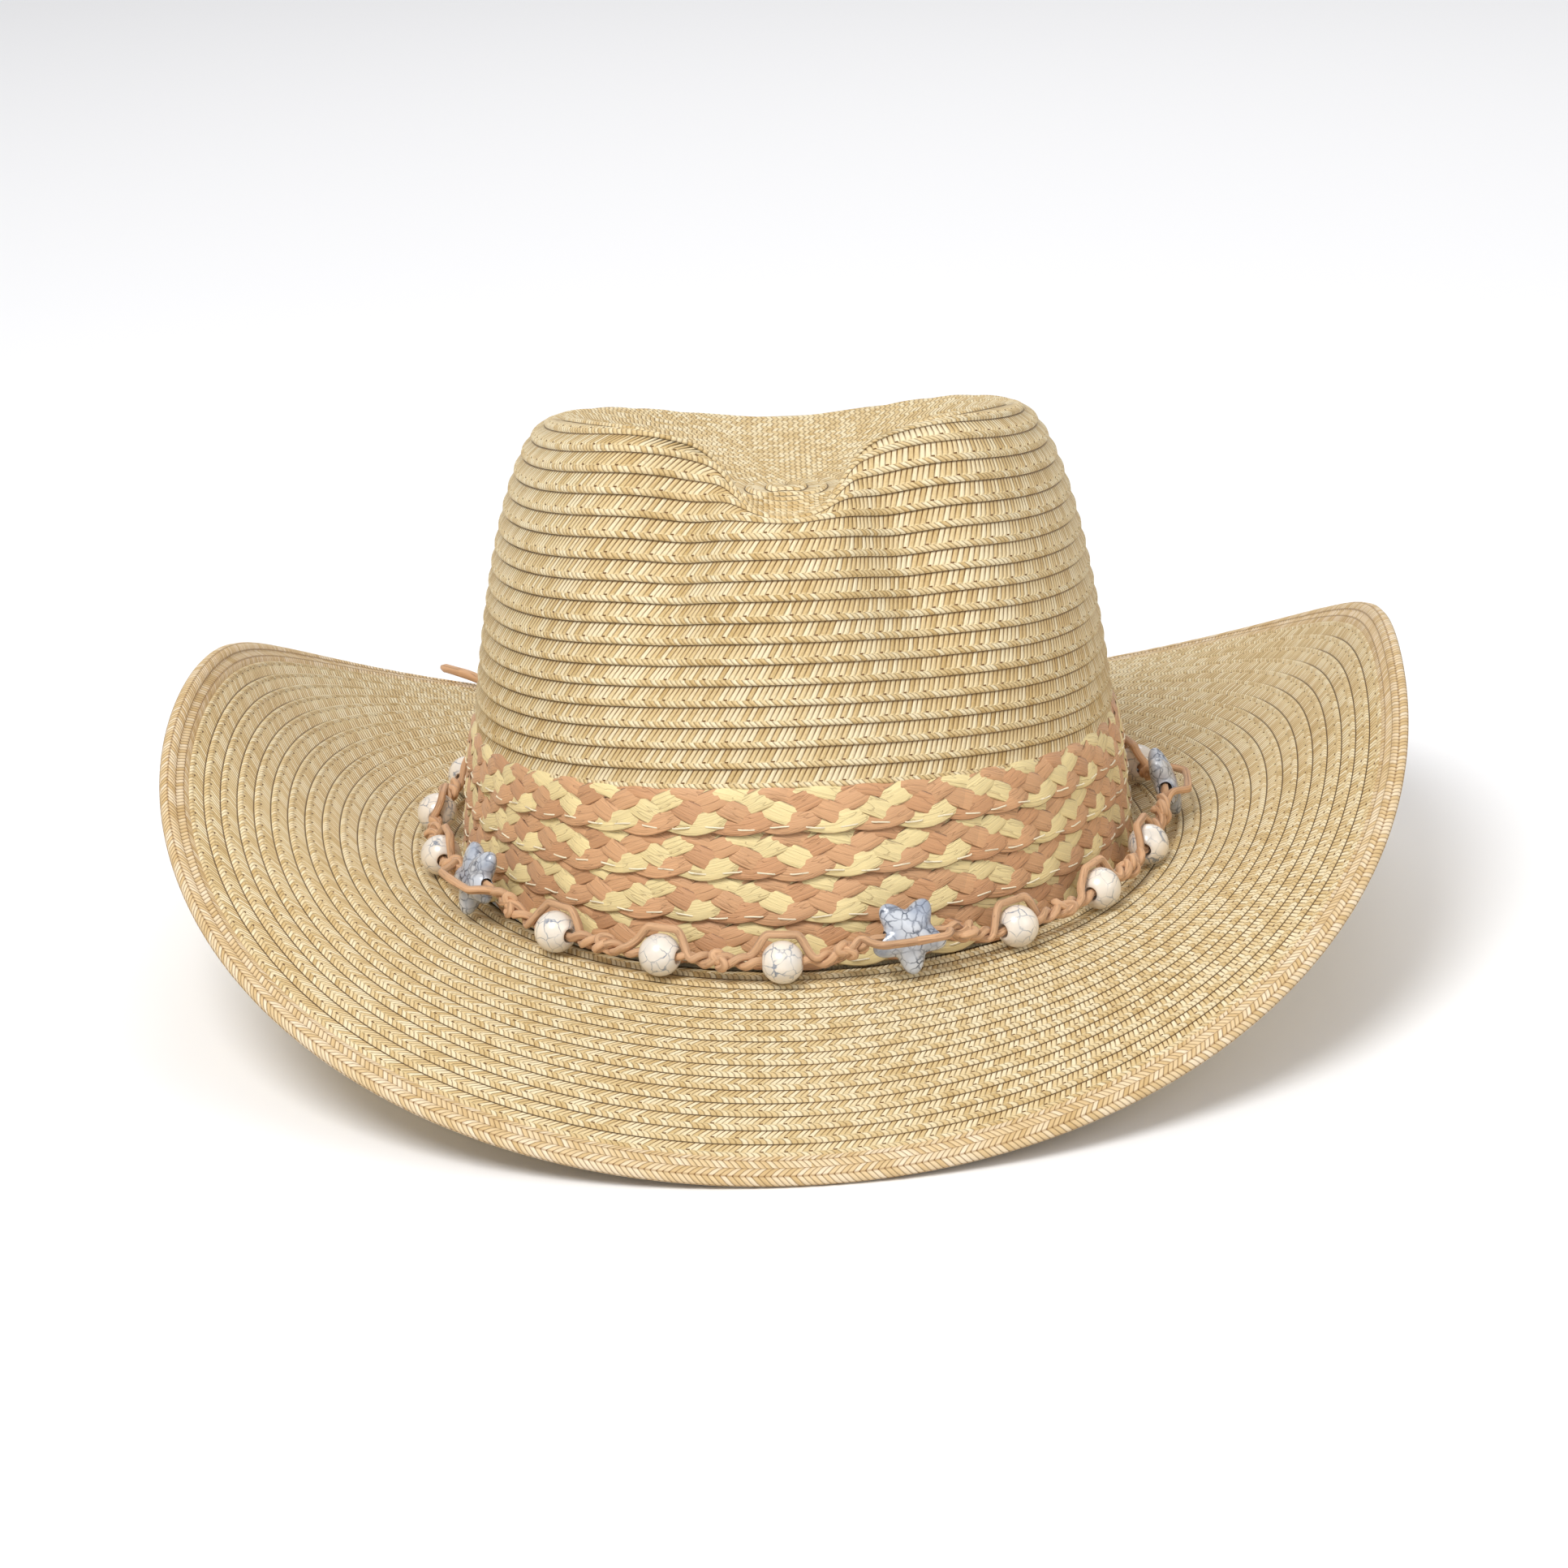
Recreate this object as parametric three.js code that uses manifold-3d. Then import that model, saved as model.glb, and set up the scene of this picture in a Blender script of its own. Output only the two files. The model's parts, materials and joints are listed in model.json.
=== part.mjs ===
// Straw western hat: a crown and a brim sewn from one spiral of paper braid, a brim wire inside a folded
// edge row, a sweatband, a hat band of four raffia plaits, and a knotted string of beads lying round it.
// Millimetres, +Z up, the front of the hat faces -Y. The hat stands on the front and back of its brim edge.
import * as THREE from 'three';
import { mergeVertices } from 'three/addons/utils/BufferGeometryUtils.js';
import Module from 'manifold-3d';

const wasm = await Module();
wasm.setup();

// ---- driving dimensions ----
const STATIONS = 56; // steps round the hat
const GAP = 0.3; // air between pieces that touch
const BRAID_T = 1.8; // thickness of the sewn braid, two layers where the rows overlap

const FOOT_A = 82.5; // half width of the crown at its foot, outside
const FOOT_B = 98.5; // half length of the crown at its foot, outside
const FOOT_X = 0.8; // centre of the head oval across the hat
const FOOT_Y = -0.55; // and along it
const FOOT_Z = 20.55; // height of the crown's foot at the sides
const FOOT_RISE = 2.1; // the foot lies this much higher at the front and lower at the back

const CREST_A = 55; // half width of the top edge of the crown
const CREST_B = 73; // half length of the top edge of the crown
const CREST_Y = -3.9; // the top edge sits this far forward
const CREST_NARROWING = 0.12; // the top edge narrows towards the front pinch
const CREST_HEIGHTS = [106.2, 8.6, -7.0, -2.6, -2.0]; // cosine terms of its height above the foot
const DENT_TIP = [0, 3.2, 91]; // deepest point of the dent, where the braid spiral starts
const WALL_LEAN = 4.0; // the wall leans in by this at half height
const SHOULDER_HANDLE = 0.52; // how far the wall's curve leans over before the top edge
const DENT_HANDLE = 12; // the dent leaves the top edge level for about this far
const DENT_FLOOR = { share: 0.6, drop: 2 }; // where the dent's floor flattens towards the tip
const PINCH = { depth: 12, angle: 27, spread: 11.5, from: 40, to: 105, fade: 0.6 }; // front finger dents
const SHOULDER = { height: 5, angle: 38, spread: 17 }; // the top edge stands up beside the front notch

const BRIM_WIDTH = 76.8; // from foot to the cut edge, straight across
const BRIM_WIDTH_WAVE = -1.9; // sides a little wider than front and back
const BRIM_SKEW = -4.4; // the brim is cut slightly askew
const BRIM_HEIGHTS = { mean: 12.2, side: -31.3, corner: 2.0, rear: -1.3 }; // edge above the foot
const BRIM_LEAVES = 0.35; // slope at the foot, as a share of the mean slope
const BRIM_ARRIVES = 1.5; // slope at the edge, as a share of the mean slope

const EDGE_LAP = 7.5; // the folded edge row laps onto the brim by this much
const WIRE_R = 0.5;
const WIRE_OUT = 1.3; // the wire lies this far outside the brim's cut edge
const SLEEVE_R = 1.1;
const SLEEVE_BORE_R = 0.8;
const SLEEVE_LENGTH = 14;

const SWEATBAND_T = 1.2;
const SWEATBAND_UP = 28; // above the foot
const SWEATBAND_DOWN = 2.3; // below the foot

const PLAITS = 4;
const PLAIT_T = 2.1;
const BAND_HEIGHTS = [37, 1, 4.5]; // cosine terms of the band's height round the crown

const BEADS = 20;
const BEAD_R = 5;
const BEAD_BORE_R = 1.7;
const BEAD_OUT = 8.3; // bead centre outside the crown's foot
const BEAD_UP = 5.8; // bead centre above the brim
const FIRST_BEAD = 15; // degrees round from the front
const STAR_EVERY = 4;
const STAR_R = 9.2;
const STAR_VALLEY_R = 4.9;
const STAR_T = 6;
const STAR_TILT = 20; // the stars lean back on the band, degrees
const STAR_OUT = 9.4;
const STAR_UP = 10.6;
const STAR_LEVEL = 4.6; // degrees each side of a star over which the cord runs level
const CORD_R = 1.1;
const KNOT_R = 2.7;
const TIE_KNOT_EXTRA = 0.8; // the tie knot is this much larger
const TAIL_R = 1.4;

// Routes of the two tie tails over the back of the brim, from the tie knot to their cut ends.
const LEFT_TAIL = [
  [-11.3, 108.1, 21.9], [-14, 109.9, 20.4], [-17.5, 111.2, 19.2], [-22, 112, 18.5], [-27.5, 114, 18.4],
  [-33.5, 115, 18.3], [-39.5, 115, 18.4], [-45.5, 116, 18.6], [-51, 118.5, 18.6], [-55.5, 122, 18.5],
  [-60, 126, 18.5], [-65, 129, 18.7], [-70.5, 130.5, 19.5], [-76.5, 131, 20.6], [-82.5, 132, 22.2],
  [-88, 134, 24.4], [-93, 136.5, 25.4], [-97, 138.7, 26],
];
const RIGHT_TAIL = [
  [-6.9, 108.5, 22], [-4.6, 110.6, 20.4], [-1.5, 113.5, 18.9], [2, 118, 17.7], [4, 123.5, 16.8],
  [6, 129, 16], [10, 133.5, 15.1], [15.5, 136, 14.7], [21.5, 137, 14.5], [27.5, 138.5, 14.4],
  [32.5, 142, 13.9], [36.5, 146.5, 13.3], [41, 150, 12.7], [46.5, 152, 12.6],
];

// ---- small helpers ----
const rad = THREE.MathUtils.degToRad;
const vec = (x, y, z) => new THREE.Vector3(x, y, z);
const cosines = (terms, phi) => terms.reduce((sum, term, k) => sum + term * Math.cos(k * phi), 0);
const smooth = (t) => THREE.MathUtils.smoothstep(t, 0, 1);

function bezier(p0, p1, p2, p3) {
  return new THREE.CubicBezierCurve3(p0, p1, p2, p3);
}

// ---- the shape of the hat, at an angle phi round from the front ----
function footPlane(y) {
  return FOOT_Z - (FOOT_RISE * (y - FOOT_Y)) / FOOT_B;
}

function footNormal(phi) {
  return vec(Math.sin(phi) / FOOT_A, -Math.cos(phi) / FOOT_B, 0).normalize();
}

// A point of the head oval, moved outwards by `out`.
function foot(phi, out = 0) {
  const point = vec(FOOT_X + FOOT_A * Math.sin(phi), FOOT_Y - FOOT_B * Math.cos(phi), 0);
  point.addScaledVector(footNormal(phi), out);
  point.z = footPlane(point.y);
  return point;
}

// A smooth hump on each side of the front, at the angle and with the spread given in degrees.
function hump(phi, { angle, spread }) {
  const degrees = THREE.MathUtils.radToDeg(phi);
  const turn = Math.abs(THREE.MathUtils.euclideanModulo(degrees + 180, 360) - 180);
  return Math.exp(-(((turn - angle) / spread) ** 2));
}

function crest(phi) {
  const x = CREST_A * Math.sin(phi) * (1 - CREST_NARROWING * Math.cos(phi));
  const y = FOOT_Y + CREST_Y - CREST_B * Math.cos(phi);
  const shoulder = SHOULDER.height * hump(phi, SHOULDER);
  return vec(FOOT_X + x, y, FOOT_Z + cosines(CREST_HEIGHTS, phi) + shoulder);
}

// The outer face of the crown from foot to crest, then down the dent to its tip.
function crownMeridian(phi, wallSteps, dentSteps) {
  const base = foot(phi);
  const top = crest(phi);
  const tip = vec(FOOT_X + DENT_TIP[0], FOOT_Y + DENT_TIP[1], FOOT_Z + DENT_TIP[2]);
  const radial = vec(base.x - FOOT_X, base.y - FOOT_Y, 0).normalize();
  const over = vec(base.x - top.x, base.y - top.y, 0);
  const rise = top.z - base.z;
  const wall = bezier(
    base,
    base.clone().addScaledVector(radial, -WALL_LEAN).setZ(base.z + 0.5 * rise),
    top.clone().addScaledVector(over, SHOULDER_HANDLE),
    top,
  );
  const { share, drop } = DENT_FLOOR;
  const floor = vec(FOOT_X + (top.x - FOOT_X) * share, FOOT_Y + (top.y - FOOT_Y) * share, tip.z - drop);
  const dent = bezier(top, top.clone().addScaledVector(over.clone().normalize(), -DENT_HANDLE), floor, tip);
  const points = wall.getPoints(wallSteps);
  points.push(...dent.getPoints(dentSteps).slice(1));
  const depth = PINCH.depth * hump(phi, PINCH);
  points.forEach((point, i) => {
    const high = smooth((point.z - base.z - PINCH.from) / (PINCH.to - PINCH.from));
    const inDent = Math.max(0, i - wallSteps) / dentSteps;
    point.addScaledVector(radial, -depth * high * Math.max(0, 1 - inDent / PINCH.fade));
  });
  return points;
}

function brimEdge(phi) {
  const { mean, side, corner, rear } = BRIM_HEIGHTS;
  const base = foot(phi);
  const lift = mean + side * Math.cos(2 * phi) + corner * Math.cos(4 * phi);
  const z = FOOT_Z + lift + rear * (Math.cos(phi) - Math.cos(3 * phi));
  const width = BRIM_WIDTH + BRIM_WIDTH_WAVE * Math.cos(2 * phi) + BRIM_SKEW * Math.sin(2 * phi);
  const across = Math.sqrt(width ** 2 - (z - base.z) ** 2);
  return base.addScaledVector(footNormal(phi), across).setZ(z);
}

// The top face of the brim, from the foot outwards: flat at the foot, steepest at the edge.
function brimLine(phi) {
  const start = foot(phi);
  start.z -= GAP;
  const end = brimEdge(phi);
  const out = footNormal(phi);
  const length = start.distanceTo(end);
  const slope = Math.asin((end.z - start.z) / length);
  const along = (angle) => out.clone().multiplyScalar(Math.cos(angle)).add(vec(0, 0, Math.sin(angle)));
  const leave = along(BRIM_LEAVES * slope);
  const arrive = along(BRIM_ARRIVES * slope);
  const first = start.clone().addScaledVector(leave, length / 3);
  const last = end.clone().addScaledVector(arrive, -length / 3);
  return bezier(start, first, last, end);
}

// Height of the brim's top face at a distance outside the foot.
function brimHeight(phi, out) {
  const curve = brimLine(phi);
  const base = foot(phi);
  let low = 0;
  let high = 1;
  for (let i = 0; i < 24; i += 1) {
    const middle = (low + high) / 2;
    const point = curve.getPoint(middle);
    const reach = Math.hypot(point.x - base.x, point.y - base.y);
    if (reach < out) low = middle;
    else high = middle;
  }
  return curve.getPoint(low).z;
}

// ---- turning rings of points into closed solids ----
function meshFrom(positions, indices) {
  const geometry = new THREE.BufferGeometry();
  const coordinates = positions.flatMap((p) => [p.x, p.y, p.z]);
  geometry.setAttribute('position', new THREE.Float32BufferAttribute(coordinates, 3));
  geometry.setIndex(indices);
  geometry.computeVertexNormals();
  return geometry;
}

// A closed ring: sections[i] is the outline of the piece at station i, all with the same number of points.
function ringSolid(sections) {
  const sides = sections[0].length;
  const indices = [];
  sections.forEach((_, i) => {
    const next = (i + 1) % sections.length;
    for (let j = 0; j < sides; j += 1) {
      const k = (j + 1) % sides;
      const [a, b, c, d] = [i * sides + j, i * sides + k, next * sides + k, next * sides + j];
      indices.push(a, b, c, a, c, d);
    }
  });
  return meshFrom(sections.flat(), indices);
}

// An open run: as a ring, with flat ends.
function runSolid(sections) {
  const sides = sections[0].length;
  const last = (sections.length - 1) * sides;
  const indices = [];
  for (let i = 0; i < sections.length - 1; i += 1) {
    for (let j = 0; j < sides; j += 1) {
      const k = (j + 1) % sides;
      const [a, b, c, d] = [i * sides + j, i * sides + k, (i + 1) * sides + k, (i + 1) * sides + j];
      indices.push(a, b, c, a, c, d);
    }
  }
  for (let j = 1; j < sides - 1; j += 1) {
    indices.push(0, j + 1, j, last, last + j, last + j + 1);
  }
  return meshFrom(sections.flat(), indices);
}

function stationAngles(count = STATIONS, first = 0) {
  return Array.from({ length: count }, (_, i) => rad(first) + (i * 2 * Math.PI) / count);
}

// Every solid's faces are made to point outwards, whichever way round its outline was listed.
function faceOut(geometry) {
  const p = geometry.attributes.position;
  const index = geometry.index.array;
  let volume = 0;
  for (let i = 0; i < index.length; i += 3) {
    const [a, b, c] = [0, 1, 2].map((j) => new THREE.Vector3().fromBufferAttribute(p, index[i + j]));
    volume += a.dot(b.cross(c));
  }
  if (volume < 0) {
    for (let i = 0; i < index.length; i += 3) {
      [index[i], index[i + 1]] = [index[i + 1], index[i]];
    }
  }
  return geometry;
}

function toSolid(geometry) {
  const bare = geometry.clone();
  bare.deleteAttribute('normal');
  bare.deleteAttribute('uv');
  const merged = faceOut(mergeVertices(bare, 1e-4));
  return new wasm.Manifold(new wasm.Mesh({
    numProp: 3,
    vertProperties: new Float32Array(merged.attributes.position.array),
    triVerts: new Uint32Array(merged.index.array),
  }));
}

function fromSolid(solid) {
  const mesh = solid.getMesh();
  const geometry = new THREE.BufferGeometry();
  geometry.setAttribute('position', new THREE.BufferAttribute(mesh.vertProperties, 3));
  geometry.setIndex(new THREE.BufferAttribute(mesh.triVerts, 1));
  geometry.computeVertexNormals();
  return geometry;
}

// ---- finishes ----
function finish(color, roughness, metalness = 0) {
  return new THREE.MeshStandardMaterial({ color, roughness, metalness });
}

const FINISHES = {
  straw: finish(0xe3cb97, 0.85),
  raffia: finish(0xd2a86e, 0.7),
  cord: finish(0xc79268, 0.75),
  bead: finish(0xe9e4dc, 0.25),
  star: finish(0xb9bdc6, 0.22),
  cloth: finish(0xd8c39a, 0.9),
  steel: finish(0x9a9c9f, 0.35, 1),
};

const hat = new THREE.Group();
function add(name, geometry, slot) {
  const mesh = new THREE.Mesh(faceOut(geometry), FINISHES[slot]);
  mesh.name = name;
  hat.add(mesh);
  return mesh;
}

// ---- crown: a braid shell with a teardrop dent and two finger dents at the front ----
function crownShell() {
  const wallSteps = 13;
  const dentSteps = 6;
  const angles = stationAngles();
  const outer = angles.map((phi) => crownMeridian(phi, wallSteps, dentSteps).slice(0, -1));
  const tip = crownMeridian(0, wallSteps, dentSteps).at(-1);
  const rows = outer[0].length;
  const at = (i, j) => outer[(i + STATIONS) % STATIONS][j];
  const inner = angles.map((phi, i) => outer[i].map((point, j) => {
    const above = j < rows - 1 ? at(i, j + 1) : tip;
    const below = j > 0 ? at(i, j - 1) : point;
    const round = at(i + 1, j).clone().sub(at(i - 1, j));
    const normal = round.cross(above.clone().sub(below)).normalize();
    if (j === 0) normal.setZ(0).normalize();
    return point.clone().addScaledVector(normal, -BRAID_T);
  }));
  const under = tip.clone().setZ(tip.z - BRAID_T);
  const points = [...outer.flat(), ...inner.flat(), tip, under];
  const id = (i, j, layer) => layer * STATIONS * rows + (i % STATIONS) * rows + j;
  const tipId = 2 * STATIONS * rows;
  const indices = [];
  for (let i = 0; i < STATIONS; i += 1) {
    for (let j = 0; j < rows - 1; j += 1) {
      const [a, b, c, d] = [id(i, j, 0), id(i + 1, j, 0), id(i + 1, j + 1, 0), id(i, j + 1, 0)];
      indices.push(a, b, c, a, c, d);
      const [e, f, g, h] = [id(i, j, 1), id(i + 1, j, 1), id(i + 1, j + 1, 1), id(i, j + 1, 1)];
      indices.push(e, g, f, e, h, g);
    }
    indices.push(id(i, rows - 1, 0), id(i + 1, rows - 1, 0), tipId);
    indices.push(id(i + 1, rows - 1, 1), id(i, rows - 1, 1), tipId + 1);
    indices.push(id(i, 0, 0), id(i, 0, 1), id(i + 1, 0, 1), id(i, 0, 0), id(i + 1, 0, 1), id(i + 1, 0, 0));
  }
  return meshFrom(points, indices);
}

// ---- brim: a saddle-shaped braid ring that the crown stands on ----
function brimFrame(phi, t) {
  const curve = brimLine(phi);
  const point = curve.getPoint(t);
  const along = curve.getTangent(t);
  const round = vec(-along.y, along.x, 0).normalize();
  const up = along.clone().cross(round).normalize();
  if (up.z < 0) up.negate();
  return { point, along, up };
}

function brimRing() {
  return ringSolid(stationAngles().map((phi) => {
    const lip = 1 - EDGE_LAP / brimLine(phi).getLength();
    const top = [];
    const bottom = [];
    [0, 0.2, 0.45, 0.7, lip, 1].forEach((t) => {
      const { point, up } = brimFrame(phi, t);
      top.push(point);
      bottom.unshift(point.clone().addScaledVector(up, -BRAID_T));
    });
    const inside = foot(phi, -BRAID_T);
    inside.z = top[0].z;
    return [inside, ...top, ...bottom, inside.clone().setZ(inside.z - BRAID_T)];
  }));
}

// The edge row: one braid folded over the brim's edge and the wire. Outline as [outwards, up] pairs.
const EDGE_OUTLINE = [
  [-EDGE_LAP, 1.4], [1.3, 1.4], [3.0, 0.7], [3.6, -0.9], [3.0, -2.5], [1.3, -3.2], [-EDGE_LAP, -3.2],
  [-EDGE_LAP, -2.3], [1.3, -2.3], [2.3, -1.9], [2.7, -0.9], [2.3, 0.1], [1.3, 0.5], [-EDGE_LAP, 0.5],
];

// An [outwards, up] place at the brim's edge; inside the brim it follows the top face.
function atEdge(phi, [out, up]) {
  const width = brimLine(phi).getLength();
  const frame = brimFrame(phi, out < 0 ? 1 + out / width : 1);
  return frame.point.addScaledVector(frame.along, Math.max(0, out)).addScaledVector(frame.up, up);
}

function edgeRow() {
  return ringSolid(stationAngles().map((phi) => EDGE_OUTLINE.map((place) => atEdge(phi, place))));
}

// The wire is one length of steel whose two ends meet inside a crimped sleeve at the back.
const wireCentre = (phi) => atEdge(phi, [WIRE_OUT, -BRAID_T / 2]);

function disc(centre, direction, radius, sides) {
  const side = vec(0, 0, 1).cross(direction).normalize();
  const up = direction.clone().cross(side).normalize();
  return Array.from({ length: sides }, (_, j) => {
    const angle = (j * 2 * Math.PI) / sides;
    return centre.clone()
      .addScaledVector(side, radius * Math.cos(angle))
      .addScaledVector(up, radius * Math.sin(angle));
  });
}

function joinEnds() {
  const half = STATIONS / 2;
  const angles = stationAngles();
  const from = wireCentre(angles[half]);
  const to = wireCentre(angles[half + 1]);
  return { from, to, middle: from.clone().lerp(to, 0.5), direction: to.clone().sub(from).normalize() };
}

function brimWire() {
  const angles = stationAngles();
  const half = STATIONS / 2;
  const { middle, direction } = joinEnds();
  const route = Array.from({ length: STATIONS }, (_, i) => wireCentre(angles[(half + 1 + i) % STATIONS]));
  route.unshift(middle.clone().addScaledVector(direction, GAP));
  route.push(middle.clone().addScaledVector(direction, -GAP));
  return runSolid(route.map((point, i) => {
    const before = route[Math.max(0, i - 1)];
    const after = route[Math.min(route.length - 1, i + 1)];
    return disc(point, after.clone().sub(before).normalize(), WIRE_R, 6);
  }));
}

function wireSleeve() {
  const { middle, direction } = joinEnds();
  const end = (offset, radius) => {
    const centre = middle.clone().addScaledVector(direction, offset);
    return disc(centre, direction, radius, 8);
  };
  const half = SLEEVE_LENGTH / 2;
  const outside = [end(-half, SLEEVE_R), end(half, SLEEVE_R)];
  const bore = [end(half, SLEEVE_BORE_R), end(-half, SLEEVE_BORE_R)];
  const rings = [...outside, ...bore];
  const sections = Array.from({ length: 8 }, (_, j) => rings.map((ring) => ring[j]));
  return ringSolid(sections);
}

// ---- sweatband: a cloth band inside the crown's foot, with a flat lower rim ----
function sweatband() {
  return ringSolid(stationAngles().map((phi) => {
    const outside = -BRAID_T - GAP;
    const wallAt = (height) => {
      const meridian = crownMeridian(phi, 40, 6);
      const point = meridian.find((p) => p.z - foot(phi).z >= height);
      return Math.hypot(foot(phi).x - point.x, foot(phi).y - point.y);
    };
    const lean = wallAt(SWEATBAND_UP);
    const place = (out, height) => {
      const point = foot(phi, out);
      point.z += height;
      return point;
    };
    const inside = outside - SWEATBAND_T;
    return [
      place(outside, -SWEATBAND_DOWN), place(outside, 0), place(outside - lean, SWEATBAND_UP),
      place(inside - lean, SWEATBAND_UP), place(inside, 0), place(inside, -SWEATBAND_DOWN),
    ];
  }));
}

// ---- hat band: four raffia plaits sewn one above the other ----
function plait(row) {
  return ringSolid(stationAngles().map((phi) => {
    const height = cosines(BAND_HEIGHTS, phi);
    const curve = new THREE.CatmullRomCurve3(crownMeridian(phi, 40, 6).slice(0, 32));
    const length = curve.getLength();
    const place = (up, out) => {
      const point = curve.getPointAt(up / length);
      const tangent = curve.getTangentAt(up / length);
      const side = footNormal(phi);
      const normal = side.addScaledVector(tangent, -side.dot(tangent)).normalize();
      return point.addScaledVector(normal, out);
    };
    const low = (height * row) / PLAITS + GAP;
    const high = (height * (row + 1)) / PLAITS - GAP / 2;
    return [place(low, GAP), place(low, GAP + PLAIT_T), place(high, GAP + PLAIT_T), place(high, GAP)];
  }));
}

// ---- bead string ----
function cordCentre(phi) {
  // the cord rises and stands off a little where it passes through a star
  const starStep = (360 / BEADS) * STAR_EVERY;
  const turn = THREE.MathUtils.radToDeg(phi) - FIRST_BEAD + starStep / 2;
  const fromStar = Math.abs(THREE.MathUtils.euclideanModulo(turn, starStep) - starStep / 2);
  const near = 1 - smooth((fromStar - STAR_LEVEL) / (2 * STAR_LEVEL));
  const out = THREE.MathUtils.lerp(BEAD_OUT, STAR_OUT, near);
  const up = THREE.MathUtils.lerp(BEAD_UP, STAR_UP, near);
  const point = foot(phi, out);
  point.z = brimHeight(phi, out) + up;
  return point;
}

function cordDirection(phi) {
  const step = 0.02;
  return cordCentre(phi + step).sub(cordCentre(phi - step)).normalize();
}

function ball(centre, radius, around, upDown) {
  const geometry = new THREE.SphereGeometry(radius, around, upDown);
  return geometry.translate(centre.x, centre.y, centre.z);
}

const beadAngle = (k) => rad(FIRST_BEAD + (k * 360) / BEADS);
const TIE_KNOT = 9; // the gap between beads in which the string is tied

function cordLoop() {
  const steps = BEADS * 4;
  const sectionAt = (phi) => disc(cordCentre(phi), cordDirection(phi), CORD_R, 6);
  const ring = ringSolid(stationAngles(steps, FIRST_BEAD).map(sectionAt));
  let cord = toSolid(ring);
  for (let k = 0; k < BEADS; k += 1) {
    const centre = cordCentre(beadAngle(k + 0.5));
    const radius = k === TIE_KNOT ? KNOT_R + TIE_KNOT_EXTRA : KNOT_R;
    cord = cord.add(toSolid(ball(centre, radius, 8, 5)));
  }
  return fromSolid(cord);
}

// A bead's own frame: X along the cord, Y in towards the crown, Z up.
function beadFrame(phi) {
  const x = cordDirection(phi);
  const z = vec(0, 0, 1);
  const y = z.clone().cross(x).normalize();
  z.crossVectors(x, y);
  const frame = new THREE.Matrix4().makeBasis(x, y, z);
  return frame.setPosition(cordCentre(phi));
}

function bored(geometry, length) {
  const drill = new THREE.CylinderGeometry(BEAD_BORE_R, BEAD_BORE_R, length, 8).rotateZ(Math.PI / 2);
  return fromSolid(toSolid(geometry).subtract(toSolid(drill)));
}

function starShape() {
  const shape = new THREE.Shape();
  for (let i = 0; i < 10; i += 1) {
    const radius = i % 2 === 0 ? STAR_R : STAR_VALLEY_R;
    const angle = -Math.PI / 2 + (i * Math.PI) / 5; // one arm points down
    const [x, y] = [radius * Math.cos(angle), radius * Math.sin(angle)];
    if (i === 0) shape.moveTo(x, y);
    else shape.lineTo(x, y);
  }
  shape.closePath();
  return shape;
}

// A puffy star: the extruded outline with its arms thinning towards the tips.
function starBlank() {
  const bevel = 1.6;
  const geometry = new THREE.ExtrudeGeometry(starShape(), {
    depth: STAR_T - 2 * bevel,
    bevelEnabled: true,
    bevelThickness: bevel,
    bevelSize: bevel,
    bevelOffset: -bevel,
    bevelSegments: 1,
  });
  geometry.translate(0, 0, bevel - STAR_T / 2);
  return geometry.rotateX(Math.PI / 2 - rad(STAR_TILT));
}

// ---- assembly ----
add('crown', crownShell(), 'straw');
add('brim', brimRing(), 'straw');
add('brim_edge_row', edgeRow(), 'straw');
add('brim_wire', brimWire(), 'steel');
add('wire_sleeve', wireSleeve(), 'steel');
add('sweatband', sweatband(), 'cloth');
for (let row = 0; row < PLAITS; row += 1) add(`raffia_plait_${row + 1}`, plait(row), 'raffia');
add('cord_loop', cordLoop(), 'cord');

const roundBlank = bored(new THREE.SphereGeometry(BEAD_R, 10, 6).rotateZ(Math.PI / 2), 4 * BEAD_R);
const boredStar = bored(starBlank(), 4 * STAR_R);
for (let k = 0; k < BEADS; k += 1) {
  const star = k % STAR_EVERY === 0;
  const name = star ? `star_bead_${k / STAR_EVERY + 1}` : `round_bead_${k - Math.floor(k / STAR_EVERY)}`;
  const mesh = add(name, (star ? boredStar : roundBlank).clone(), star ? 'star' : 'bead');
  mesh.applyMatrix4(beadFrame(beadAngle(k)));
}

function tail(points) {
  const curve = new THREE.CatmullRomCurve3(points.map((p) => vec(...p)));
  const circle = new THREE.Shape().absarc(0, 0, TAIL_R, 0, 2 * Math.PI);
  const geometry = new THREE.ExtrudeGeometry(circle, { steps: 14, extrudePath: curve, curveSegments: 8 });
  geometry.deleteAttribute('normal');
  geometry.deleteAttribute('uv');
  return mergeVertices(geometry, 1e-4);
}
add('tie_tail_left', tail(LEFT_TAIL), 'cord');
add('tie_tail_right', tail(RIGHT_TAIL), 'cord');

export default hat;
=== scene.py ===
# %% [markdown]
# # A straw western hat
# The real hat is sewn from one long flat braid of twisted paper straw, wound in rows from the middle of
# the crown out to the edge of the brim. Here the rows are closed rings. A band of four
# raffia plaits hides the foot of the crown, and a knotted raffia cord with stone beads lies round it.
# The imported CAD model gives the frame: every piece here is made where its CAD solid is, in metres, and
# rides on that solid's body.

# %% Load the fixed frame
import json
import math
import bpy
import numpy as np
from mathutils import Matrix, Vector


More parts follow.
